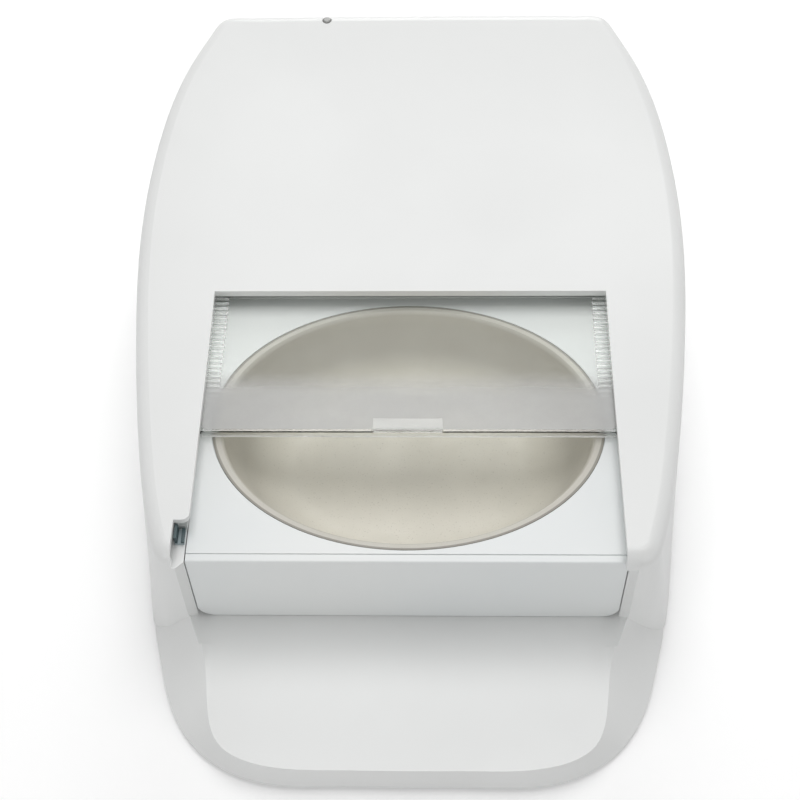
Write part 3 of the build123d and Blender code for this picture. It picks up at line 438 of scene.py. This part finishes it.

# %% Painted shadow line at the rim and gloss of the bowl
# A dark line is painted just inside the oval rim, as the shadow in the gap between bowl and tray.
across = math_node(tree, "DIVIDE", place["X"], RIM_HALF_LENGTH)
along = math_node(tree, "DIVIDE", math_node(tree, "SUBTRACT", place["Y"], RIM_MIDDLE_Y), RIM_HALF_WIDTH)
squares = [math_node(tree, "POWER", side, 2.0) for side in (across, along)]
share = math_node(tree, "SQRT", math_node(tree, "ADD", *squares))
rim_shadow = product(tree, spread(tree, share, *RIM_SHADOW_SHARE), RIM_SHADOW_STRENGTH)
colour = two_tone(tree, rim_shadow, colour, linear(120, 116, 106))
tree.links.new(colour, shader.inputs["Base Color"])
marks = use_group(tree, touch_group, "Mask", Patch_Scale=34.0)
rough = spread(tree, marks, low=0.0, high=1.0, to_low=0.34, to_high=0.48)
rough = math_node(tree, "ADD", rough, product(tree, scratches, 0.12))
tree.links.new(rough, shader.inputs["Roughness"])
grain = use_group(tree, grain_group, "Height", Peel_Scale=220.0, Grain_Share=0.5)
bump(tree, shader, math_node(tree, "SUBTRACT", grain, product(tree, scratches, 0.8)), depth=0.012)
print("bowl material ready")

# %% [markdown]
# ## Clear cover
#
# The cover is clear moulded plastic.  It has to let light through to what lies beneath, or
# the bowl goes black; real light bends through, but few rays find that way.  So rays from
# lamps, and light scattered back from the bowl, meet a Transparent shader, and all other
# rays meet true clear plastic.  A band along its front edge is frosted by wear; that film
# is a piece of its own, thin and closed, that fades out towards the hood.

# %% Clear plastic
COVER_SHEET_Z = 61.0 * MM  # the racks and the front lip hang below this and are left matt
COVER_STEP = 0.1 * MM  # over this height matt turns into clear
MATT_ROUGHNESS = 0.42
CLEAR_ROUGHNESS = 0.015
clear_plastic, tree, shader = new_material("clear_plastic")
shader.inputs["Base Color"].default_value = linear(253, 254, 253)
shader.inputs["Transmission Weight"].default_value = 1.0
shader.inputs["IOR"].default_value = 1.49
marks = use_group(tree, touch_group, "Mask", Patch_Scale=26.0)
scratches = use_group(tree, scratch_group, "Mask", Scale=70.0)
haze = product(tree, math_node(tree, "ADD", marks, scratches), 0.04)
place = axes(tree, object_place(tree))
under = spread(tree, place["Z"], COVER_SHEET_Z - COVER_STEP, COVER_SHEET_Z, MATT_ROUGHNESS, CLEAR_ROUGHNESS)
tree.links.new(math_node(tree, "ADD", haze, under), shader.inputs["Roughness"])
wave = noise(tree, scale=40.0, detail=1.0)
bump(tree, shader, math_node(tree, "SUBTRACT", wave, product(tree, scratches, 0.2)), depth=0.006)
print("clear plastic ready")

# %% Light through the cover
passing = node(tree, "ShaderNodeBsdfTransparent")
passing.inputs["Color"].default_value = linear(254, 255, 254)
rays = node(tree, "ShaderNodeLightPath")
lamps_pass = node(tree, "ShaderNodeMixShader")
light_paths = math_node(tree, "MAXIMUM", rays.outputs["Is Shadow Ray"], rays.outputs["Is Diffuse Ray"])
tree.links.new(light_paths, lamps_pass.inputs[0])
tree.links.new(shader.outputs[0], lamps_pass.inputs[1])
tree.links.new(passing.outputs[0], lamps_pass.inputs[2])
tree.links.new(lamps_pass.outputs[0], tree.nodes["Material Output"].inputs["Surface"])
print("cover lets lamps and scattered light pass")

# %% [markdown]
# ## Metals
#
# Shafts are ground round, screws and the motor can are zinc plated, the bushes are sintered
# bronze and the battery contacts nickel.  All are the same recipe: a metal between two near
# colours, a roughness that varies with fine grain, and scratches as a bump.


# %% Metal recipe
def plain_metal(name, tone, shade, gloss, dull, grain_scale=900.0, depth=0.008):
    """Bare or plated metal with fine grain and a few scratches."""
    material, tree, shader = new_material(name)
    shader.inputs["Metallic"].default_value = 1.0
    drift = noise(tree, scale=60.0, detail=4.0)
    tree.links.new(two_tone(tree, drift, linear(*tone), linear(*shade)), shader.inputs["Base Color"])
    fine = noise(tree, grain_scale, detail=3.0)
    scratches = use_group(tree, scratch_group, "Mask", Scale=140.0)
    rough = spread(tree, fine, low=0.25, high=0.75, to_low=gloss, to_high=dull)
    rough = math_node(tree, "ADD", rough, product(tree, scratches, 0.1))
    tree.links.new(rough, shader.inputs["Roughness"])
    bump(tree, shader, math_node(tree, "SUBTRACT", fine, scratches), depth)
    return material


ground_steel = plain_metal("ground_steel", (196, 197, 200), (180, 181, 185), 0.22, 0.38)
zinc_plate = plain_metal("zinc_plate", (190, 193, 198), (168, 171, 175), 0.30, 0.45, grain_scale=500.0)
sintered_bronze = plain_metal(
    "sintered_bronze", (176, 140, 90), (150, 116, 70), 0.42, 0.60, grain_scale=2200.0, depth=0.02
)
nickel = plain_metal("nickel", (208, 205, 196), (190, 187, 178), 0.18, 0.30)
print("metals", [material.name for material in (ground_steel, zinc_plate, sintered_bronze, nickel)])

# %% [markdown]
# ## Rubber, circuit boards, winding, cells, sensor and light guide
#
# These parts are small or hidden, but each still shows its own make: rubber is dull and
# pitted, a board has copper tracks under its lacquer and tinned pads on it, the winding is
# lacquered copper, a cell is wrapped in dark film with one paler band, the sensor's base is
# paler than its two dark walls, and the light guide is smoked.

# %% Rubber
foot_rubber, tree, shader = new_material("foot_rubber")
pits = noise(tree, scale=1800.0, detail=4.0)
drift = spread(tree, noise(tree, scale=70.0, detail=3.0), low=0.3, high=0.7)
tree.links.new(two_tone(tree, drift, linear(58, 58, 59), linear(70, 70, 70)), shader.inputs["Base Color"])
tree.links.new(spread(tree, pits, 0.3, 0.7, to_low=0.75, to_high=0.95), shader.inputs["Roughness"])
bump(tree, shader, pits, depth=0.05)
print("rubber ready")

# %% Circuit board
BOARD_CELLS = 420.0  # places for a pad, per metre
TRACK_RING = 0.33  # a track runs this share of a cell away from its pad
board_green, tree, shader = new_material("board_green")
cells = node(tree, "ShaderNodeTexVoronoi", distance="CHEBYCHEV", feature="F1")
cells.inputs["Scale"].default_value = BOARD_CELLS
tree.links.new(object_place(tree), cells.inputs["Vector"])
from_pad = cells.outputs["Distance"]
from_track = math_node(tree, "ABSOLUTE", math_node(tree, "SUBTRACT", from_pad, TRACK_RING))
track = spread(tree, from_track, low=0.03, high=0.06, to_low=1.0, to_high=0.0)
pad = spread(tree, from_pad, low=0.07, high=0.10, to_low=1.0, to_high=0.0)
colour = two_tone(tree, product(tree, track, 0.6), linear(22, 84, 48), linear(58, 128, 74))
colour = two_tone(tree, pad, colour, linear(176, 176, 170))
tree.links.new(colour, shader.inputs["Base Color"])
tree.links.new(spread(tree, pad, 0.0, 1.0, to_low=0.26, to_high=0.40), shader.inputs["Roughness"])
tree.links.new(pad, shader.inputs["Metallic"])
bump(tree, shader, math_node(tree, "MAXIMUM", track, pad), depth=0.03)
print("board ready")

# %% Copper winding
coil_copper, tree, shader = new_material("coil_copper")
shader.inputs["Metallic"].default_value = 1.0
shader.inputs["Coat Weight"].default_value = 0.6
drift = noise(tree, scale=320.0, detail=3.0)
colour = two_tone(tree, drift, linear(196, 118, 74), linear(168, 92, 54))
tree.links.new(colour, shader.inputs["Base Color"])
tree.links.new(spread(tree, drift, 0.2, 0.8, to_low=0.22, to_high=0.36), shader.inputs["Roughness"])
bump(tree, shader, noise(tree, scale=900.0, detail=2.0), depth=0.01)
print("copper ready")

# %% Battery cell
# The cells lie along Y, so the band follows the Object coordinate Y, in metres.
CELL_BAND_Y = (132.0 * MM, 152.0 * MM)
CELL_BAND_EDGE = 0.4 * MM
wrapped_cell, tree, shader = new_material("wrapped_cell")
place = axes(tree, object_place(tree))
band_front, band_rear = CELL_BAND_Y
rise = spread(tree, place["Y"], band_front, band_front + CELL_BAND_EDGE)
fall = spread(tree, place["Y"], band_rear, band_rear + CELL_BAND_EDGE, to_low=1.0, to_high=0.0)
drift = noise(tree, scale=90.0, detail=2.0)
wrap = two_tone(tree, drift, linear(56, 60, 66), linear(66, 70, 76))
colour = two_tone(tree, product(tree, rise, fall), wrap, linear(176, 132, 58))
tree.links.new(colour, shader.inputs["Base Color"])
tree.links.new(spread(tree, drift, 0.2, 0.8, to_low=0.28, to_high=0.42), shader.inputs["Roughness"])
bump(tree, shader, noise(tree, scale=500.0, detail=3.0), depth=0.02)
print("cell ready")

# %% Sensor
SENSOR_STEP_Z = 59.35 * MM  # top of the sensor's pale base
SENSOR_STEP = 0.1 * MM
sensor_body, tree, shader = new_material("sensor_body")
place = axes(tree, object_place(tree))
upper = spread(tree, place["Z"], SENSOR_STEP_Z, SENSOR_STEP_Z + SENSOR_STEP)
speckle = noise(tree, scale=1400.0, detail=2.0)
dark = two_tone(tree, speckle, linear(52, 72, 76), linear(66, 86, 90))
tree.links.new(two_tone(tree, upper, linear(170, 184, 188), dark), shader.inputs["Base Color"])
tree.links.new(spread(tree, speckle, 0.2, 0.8, to_low=0.35, to_high=0.50), shader.inputs["Roughness"])
bump(tree, shader, speckle, depth=0.01)
print("sensor ready")

# %% Light guide
smoked_lens, tree, shader = new_material("smoked_lens")
swirl = noise(tree, scale=500.0, detail=2.0)
colour = two_tone(tree, swirl, linear(126, 127, 124), linear(140, 141, 138))
tree.links.new(colour, shader.inputs["Base Color"])
tree.links.new(spread(tree, swirl, 0.2, 0.8, to_low=0.12, to_high=0.24), shader.inputs["Roughness"])
shader.inputs["Coat Weight"].default_value = 0.5
bump(tree, shader, swirl, depth=0.01)
print("lens ready")

# %% [markdown]
# ## Dressing the solid parts
#
# Each solid node takes one of the finishes above.  A list given one by one is easy to get wrong, so
# the cell names every node's finish and then prints what was left out.

# %% Finishes by node
FINISHES = {
    housing_white: ("upper_shell",),
    tray_white: ("bowl_tray",),
    base_white: ("base_plate", "battery_door"),
    rail_grey: ("guide_rail_left", "guide_rail_right", "bearing_block_left", "bearing_block_right"),
    bowl_grey: ("bowl",),
    clear_plastic: ("cover",),
    ground_steel: ("drive_shaft", "output_shaft"),
    zinc_plate: ("motor_can", "motor_bracket", "bracket_screws", "base_screws", "board_screws"),
    sintered_bronze: ("shaft_bush_left", "shaft_bush_right"),
    nickel: ("battery_plates", "battery_springs"),
    gear_acetal: ("pinion_left", "pinion_right", "shaft_gear", "motor_gear"),
    black_moulding: ("gearbox", "main_board_parts", "button_switches", "dc_jack"),
    foot_rubber: ("foot_1", "foot_2", "foot_3", "foot_4"),
    board_green: ("main_board", "reader_board", "button_board"),
    coil_copper: ("antenna_coil",),
    wrapped_cell: tuple(f"battery_cell_{number}" for number in range(1, 5)),
    sensor_body: ("closed_sensor", "open_sensor"),
    button_grey: ("learn_button", "open_button"),
    smoked_lens: ("indicator_lens",),
}
for material, names in FINISHES.items():
    for name in names:
        mesh = nodes[name].data
        mesh.materials.clear()
        mesh.materials.append(material)
dressed = {name for names in FINISHES.values() for name in names}
print("dressed", len(dressed), "nodes, left out:", sorted(set(nodes) - dressed))

# %% [markdown]
# ## Frosted band of the cover
#
# Claws and wiping frost the front strip of the cover.  It could be painted in the clear
# material, but then clear and frosted plastic would share one shader and the strip could not
# fade out.  So it is a film 0.06 mm thick on top of the sheet, with rounded corners and an
# Alpha that follows its place along Y.

# %% Frosted finish
BAND_HALF = 83.6 * MM
BAND_Y = (-47.9 * MM, -17.5 * MM)  # front and rear edge of the film
BAND_Z = (63.02 * MM, 63.08 * MM)  # its underside and its top
BAND_CORNER = 2.4 * MM
BAND_FULL = 14 * MM  # the film is at its densest over this much of its front
BAND_ALPHA = 0.62

frosted, tree, shader = new_material("frosted_band")
place = axes(tree, object_place(tree))
front_share = spread(tree, place["Y"], BAND_Y[0] + BAND_FULL, BAND_Y[1], to_low=1.0, to_high=0.0)
cloud = spread(tree, noise(tree, scale=34.0, detail=3.0), low=0.3, high=0.7, to_low=0.82, to_high=1.0)
tree.links.new(product(tree, front_share, cloud, BAND_ALPHA), shader.inputs["Alpha"])
fine = noise(tree, scale=1200.0, detail=3.0)
colour = two_tone(tree, fine, linear(203, 203, 202), linear(211, 211, 210))
tree.links.new(colour, shader.inputs["Base Color"])
tree.links.new(spread(tree, fine, 0.2, 0.8, to_low=0.45, to_high=0.60), shader.inputs["Roughness"])
bump(tree, shader, fine, depth=0.006)
print("frosted finish ready")

# %% Frosted film
CORNER_STEPS = 6


def plate_mesh(name, half_width, ends, levels, corner):
    """A thin closed plate between two ends along Y and two levels, with rounded corners."""
    side, front, rear = half_width - corner, ends[0] + corner, ends[1] - corner
    corners = ((side, rear, 0), (-side, rear, 90), (-side, front, 180), (side, front, 270))
    outline = []
    for middle_x, middle_y, start in corners:
        for step in range(CORNER_STEPS + 1):
            angle = math.radians(start + 90 * step / CORNER_STEPS)
            outline.append((middle_x + corner * math.cos(angle), middle_y + corner * math.sin(angle)))
    count = len(outline)
    points = [(x, y, z) for z in levels for x, y in outline]
    top = [tuple(range(count, 2 * count))]
    bottom = [tuple(reversed(range(count)))]
    walls = [(i, (i + 1) % count, count + (i + 1) % count, count + i) for i in range(count)]
    mesh = bpy.data.meshes.new(name)
    mesh.from_pydata(points, [], top + bottom + walls)
    mesh.update()
    return mesh


band_mesh = plate_mesh("cover_frosting", BAND_HALF, BAND_Y, BAND_Z, BAND_CORNER)
band_mesh.materials.append(frosted)
band = add_object("cover_frosting", band_mesh)
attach(band, "cover")
print("frosted band with", len(band_mesh.polygons), "faces")

# %% [markdown]
# ## Parts that repeat
#
# Feet, screws and the turns of a coil are one shape set down many times.  They could be
# copied by hand, but a Geometry Nodes tree keeps the rule in sight: the places are points,
# the shape is built once from named sizes, and each point gets an instance of it.  Each tree
# ends by making the instances real and giving them a material, and the finished mesh is then
# kept as a plain mesh.


# %% Helpers for geometry trees
def new_tree(name, sizes):
    """A geometry tree with named float inputs; returns it with its input and output nodes."""
    tree = bpy.data.node_groups.new(name, "GeometryNodeTree")
    tree.interface.new_socket(name="Geometry", in_out="INPUT", socket_type="NodeSocketGeometry")
    for label, default in sizes.items():
        socket = tree.interface.new_socket(name=label, in_out="INPUT", socket_type="NodeSocketFloat")
        socket.default_value = default
    tree.interface.new_socket(name="Material", in_out="INPUT", socket_type="NodeSocketMaterial")
    tree.interface.new_socket(name="Geometry", in_out="OUTPUT", socket_type="NodeSocketGeometry")
    return tree, tree.nodes.new("NodeGroupInput"), tree.nodes.new("NodeGroupOutput")


def wire(tree, kind, settings=None, **values):
    """Adds a geometry node; values are numbers, vectors or sockets, keyed by input name."""
    added = tree.nodes.new(kind)
    for key, value in (settings or {}).items():
        setattr(added, key, value)
    for label, value in values.items():
        socket = added.inputs[label.replace("_", " ")]
        if isinstance(value, bpy.types.NodeSocket):
            tree.links.new(value, socket)
        else:
            socket.default_value = value
    return added


def vertex_axes(tree):
    """The X, Y and Z sockets of a vertex's place."""
    return axes(tree, wire(tree, "GeometryNodeInputPosition").outputs[0])


def vector(tree, **parts):
    """A vector socket from its X, Y and Z; what isn't given is 0."""
    return wire(tree, "ShaderNodeCombineXYZ", **parts).outputs[0]


def on_points(tree, points, made, **values):
    """The geometry socket of what a node made, set down on every point."""
    placed = wire(tree, "GeometryNodeInstanceOnPoints", Points=points, Instance=made.outputs[0], **values)
    return placed.outputs[0]


def from_axis(tree, place):
    """The socket with a vertex's distance from the Z axis."""
    away = wire(tree, "ShaderNodeVectorMath", {"operation": "LENGTH"})
    tree.links.new(vector(tree, X=place["X"], Y=place["Y"]), away.inputs[0])
    return away.outputs["Value"]


LOWER_CAP = -0.49  # a vertex below this share of the height belongs to the lower cap


def in_lower_cap(tree, place, height):
    """1 for the vertices of a cylinder's lower cap, 0 for all others."""
    return math_node(tree, "LESS_THAN", place["Z"], math_node(tree, "MULTIPLY", height, LOWER_CAP))


print("geometry helpers ready")


# %% Ending a tree and keeping its mesh
def close_tree(tree, geometry, given, result):
    """Ends a tree: instances made real, material set."""
    real = wire(tree, "GeometryNodeRealizeInstances", Geometry=geometry).outputs[0]
    painted = wire(tree, "GeometryNodeSetMaterial", Geometry=real, Material=given.outputs["Material"])
    tree.links.new(painted.outputs[0], result.inputs["Geometry"])


def grow(name, tree, places, material, lengths=None):
    """Runs a tree on points of the base and keeps the result as one plain mesh."""
    host_mesh = bpy.data.meshes.new(name + "_places")
    host_mesh.from_pydata(places, [], [])
    if lengths:
        attribute = host_mesh.attributes.new("length", "FLOAT", "POINT")
        attribute.data.foreach_set("value", lengths)
    host = add_object(name + "_host", host_mesh)
    modifier = host.modifiers.new("tree", "NODES")
    modifier.node_group = tree
    for item in tree.interface.items_tree:
        if item.in_out == "INPUT" and item.name == "Material":
            modifier[item.identifier] = material
    mesh = bpy.data.meshes.new_from_object(host.evaluated_get(bpy.context.evaluated_depsgraph_get()))
    mesh.name = name
    mesh.materials.clear()
    mesh.materials.append(material)
    mesh.polygons.foreach_set("material_index", [0] * len(mesh.polygons))
    bpy.data.objects.remove(host)
    piece = add_object(name, mesh)
    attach(piece, "base")
    low = [round(min(v.co[axis] for v in mesh.vertices) / MM, 2) for axis in range(3)]
    high = [round(max(v.co[axis] for v in mesh.vertices) / MM, 2) for axis in range(3)]
    print(name, len(mesh.polygons), "faces, from", low, "to", high)
    return piece


print("growing helpers ready")

# %% [markdown]
# ## Rubber feet
#
# Each foot is a rubber disc with rings moulded into its underside, so that it grips a wet
# floor.  The rings are a wave of the distance from the middle, so a tree can write them as
# one formula: the vertices of the lower cap are lifted by that wave and drawn in a little,
# which also gives the disc its bevelled edge.

# %% Ringed feet
FOOT_PLACES = [(x * MM, y * MM, 0.0) for x, y in ((-80, -124), (80, -124), (-96, 126), (96, 126))]
FOOT_DRAW_IN = -0.1  # how far the lower cap is drawn in, as a share of its size
tree, given, result = new_tree(
    "ringed_foot", {"Radius": 8.0 * MM, "Height": 3.5 * MM, "Ring Depth": 0.5 * MM, "Rings": 3.0}
)
radius, height = given.outputs["Radius"], given.outputs["Height"]
disc = wire(
    tree, "GeometryNodeMeshCylinder", {"fill_type": "TRIANGLE_FAN"},
    Vertices=48, Side_Segments=4, Fill_Segments=18, Radius=radius, Depth=height,
)
place = vertex_axes(tree)
lower = in_lower_cap(tree, place, height)
share = math_node(tree, "DIVIDE", from_axis(tree, place), radius)
wave = math_node(tree, "SINE", product(tree, share, given.outputs["Rings"], math.pi))
wave = math_node(tree, "POWER", wave, 2.0)
lift = product(tree, wave, given.outputs["Ring Depth"], lower)
draw_in = product(tree, lower, FOOT_DRAW_IN)
shift = vector(tree, X=product(tree, place["X"], draw_in), Y=product(tree, place["Y"], draw_in), Z=lift)
shaped = wire(tree, "GeometryNodeSetPosition", Geometry=disc.outputs["Mesh"], Offset=shift)
standing = vector(tree, Z=product(tree, height, 0.5))
raised = wire(tree, "GeometryNodeTransform", Geometry=shaped.outputs[0], Translation=standing)
close_tree(tree, on_points(tree, given.outputs["Geometry"], raised), given, result)
feet = grow("ringed_feet", tree, FOOT_PLACES, foot_rubber)
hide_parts("foot_1", "foot_2", "foot_3", "foot_4")

# %% [markdown]
# ## Base screws
#
# Eight tapping screws hold the base plate, each sunk in a round recess with a cross in its
# head.  One tree makes them all: a low disc with two bars taken out of it for the cross, and
# a shank whose thread is a wave along its length.  The shank's length is kept with each
# point, because the front pair is shorter.

# %% Places of the screws
# In millimetres: X of the right-hand screw, Y, and how high its hole goes.
SCREW_PAIRS = ((99.0, -30.0, 14.5), (105.0, 80.0, 14.5), (93.5, 147.0, 14.5), (66.0, -142.0, 9.5))
HEAD_TOP = 3.5  # the shank starts where the head ends
TIP_REACH = 0.1  # the tip goes this far past the height above
screw_places = []
screw_lengths = []
for screw_x, screw_y, top_z in SCREW_PAIRS:
    for side in (-1, 1):
        screw_places.append((side * screw_x * MM, screw_y * MM, HEAD_TOP * MM))
        screw_lengths.append((top_z - HEAD_TOP + TIP_REACH) * MM)
print(len(screw_places), "screws, the longest shank", round(max(screw_lengths) / MM, 1), "mm")

# %% Screw heads with a cross recess
DOME_RISE = 0.4 * MM  # the head's rim lies this much higher than its middle
CROSS_LONG, CROSS_WIDE, CROSS_TALL = 3.4 * MM, 0.8 * MM, 1.8 * MM  # one bar of the cross
CROSS_DROP = -0.8 * MM  # from the head's middle down to the middle of the bars
tree, given, result = new_tree(
    "cross_screw",
    {
        "Head Radius": 3.0 * MM,
        "Head Height": 1.4 * MM,
        "Shank Radius": 1.15 * MM,
        "Thread Depth": 0.22,
        "Turns": 8.0,
    },
)
radius, height = given.outputs["Head Radius"], given.outputs["Head Height"]
head = wire(
    tree, "GeometryNodeMeshCylinder", {"fill_type": "TRIANGLE_FAN"},
    Vertices=32, Side_Segments=2, Fill_Segments=5, Radius=radius, Depth=height,
)
place = vertex_axes(tree)
share = math_node(tree, "DIVIDE", from_axis(tree, place), radius)
rise = product(tree, math_node(tree, "POWER", share, 4.0), DOME_RISE, in_lower_cap(tree, place, height))
domed = wire(tree, "GeometryNodeSetPosition", Geometry=head.outputs["Mesh"], Offset=vector(tree, Z=rise))
cut = wire(tree, "GeometryNodeMeshBoolean", {"operation": "DIFFERENCE"})
tree.links.new(domed.outputs[0], cut.inputs["Mesh 1"])
for size in ((CROSS_LONG, CROSS_WIDE, CROSS_TALL), (CROSS_WIDE, CROSS_LONG, CROSS_TALL)):
    bar = wire(tree, "GeometryNodeMeshCube", Size=size).outputs["Mesh"]
    low = wire(tree, "GeometryNodeTransform", Geometry=bar, Translation=(0.0, 0.0, CROSS_DROP))
    tree.links.new(low.outputs[0], cut.inputs["Mesh 2"])
sunk = vector(tree, Z=product(tree, height, -0.5))
sunk_head = wire(tree, "GeometryNodeTransform", Geometry=cut.outputs["Mesh"], Translation=sunk)
heads = on_points(tree, given.outputs["Geometry"], sunk_head)
print("heads wired,", len(tree.nodes), "nodes")

# %% Threaded shanks
# The shank is made one metre long, and each instance is scaled to its own length.
shank = wire(
    tree, "GeometryNodeMeshCylinder", {"fill_type": "NGON"},
    Vertices=14, Side_Segments=32, Radius=given.outputs["Shank Radius"], Depth=1.0,
)
place = vertex_axes(tree)
angle = product(tree, place["Z"], given.outputs["Turns"], 2 * math.pi)
groove = math_node(tree, "ADD", math_node(tree, "COSINE", angle), 1.0)
groove = product(tree, groove, -0.5, given.outputs["Thread Depth"])
shift = vector(tree, X=product(tree, place["X"], groove), Y=product(tree, place["Y"], groove))
thread = wire(tree, "GeometryNodeSetPosition", Geometry=shank.outputs["Mesh"], Offset=shift)
thread = wire(tree, "GeometryNodeTransform", Geometry=thread.outputs[0], Translation=(0.0, 0.0, 0.5))
length = wire(tree, "GeometryNodeInputNamedAttribute", {"data_type": "FLOAT"}, Name="length")
stretch = vector(tree, X=1.0, Y=1.0, Z=length.outputs["Attribute"])
shanks = on_points(tree, given.outputs["Geometry"], thread, Scale=stretch)
whole = wire(tree, "GeometryNodeJoinGeometry")
tree.links.new(heads, whole.inputs[0])
tree.links.new(shanks, whole.inputs[0])
close_tree(tree, whole.outputs[0], given, result)
screws = grow("cross_screws", tree, screw_places, zinc_plate, screw_lengths)
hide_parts("base_screws")

# %% [markdown]
# ## Winding under the porch
#
# The reader's coil is a bundle of lacquered copper wire wound into a rounded rectangle.  A
# solid ring would look like a gasket, so a tree lays the turns one by one: a small grid of
# points gives each turn its place across and up the bundle, and the loop instanced there is
# scaled down by how far in it lies.

# %% One turn of the coil
COIL_PLACE = (0.0, -140.0 * MM, 5.0 * MM)
COIL_SIDE = 4  # turns across the bundle and turns up it
tree, given, result = new_tree(
    "wound_coil",
    {
        "Width": 110.9 * MM,
        "Depth": 34.9 * MM,
        "Corner": 9.0 * MM,
        "Wire Radius": 0.46 * MM,
        "Pitch": 0.96 * MM,
    },
)
width, depth = given.outputs["Width"], given.outputs["Depth"]
loop = wire(tree, "GeometryNodeCurvePrimitiveQuadrilateral", Width=width, Height=depth)
soft = wire(
    tree, "GeometryNodeFilletCurve", {"mode": "POLY"},
    Curve=loop.outputs[0], Count=8, Radius=given.outputs["Corner"],
)
profile = wire(tree, "GeometryNodeCurvePrimitiveCircle", Resolution=8, Radius=given.outputs["Wire Radius"])
strand = wire(tree, "GeometryNodeCurveToMesh", Curve=soft.outputs[0], Profile_Curve=profile.outputs[0])
print("one turn wired,", len(tree.nodes), "nodes")

# %% Coil of many turns
span = product(tree, given.outputs["Pitch"], COIL_SIDE - 1.0)
rows = wire(
    tree, "GeometryNodeMeshGrid", Size_X=span, Size_Y=span, Vertices_X=COIL_SIDE, Vertices_Y=COIL_SIDE
)
place = vertex_axes(tree)
half_span = product(tree, span, 0.5)
inward = math_node(tree, "ADD", place["X"], half_span)
upward = math_node(tree, "ADD", place["Y"], half_span)
shrink = []
for side in (width, depth):
    share = math_node(tree, "DIVIDE", product(tree, inward, 2.0), side)
    shrink.append(math_node(tree, "SUBTRACT", 1.0, share))
kept_scale = wire(
    tree, "GeometryNodeStoreNamedAttribute", {"data_type": "FLOAT_VECTOR", "domain": "POINT"},
    Geometry=rows.outputs["Mesh"], Name="turn_scale", Value=vector(tree, X=shrink[0], Y=shrink[1], Z=1.0),
)
stacked = wire(
    tree, "GeometryNodeSetPosition", Geometry=kept_scale.outputs[0], Position=vector(tree, Z=upward)
)
turn_scale = wire(tree, "GeometryNodeInputNamedAttribute", {"data_type": "FLOAT_VECTOR"}, Name="turn_scale")
turns = wire(
    tree, "GeometryNodeInstanceOnPoints",
    Points=stacked.outputs[0], Instance=strand.outputs[0], Scale=turn_scale.outputs["Attribute"],
)
close_tree(tree, on_points(tree, given.outputs["Geometry"], turns), given, result)
coil = grow("wound_coil", tree, [COIL_PLACE], coil_copper)
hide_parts("antenna_coil")
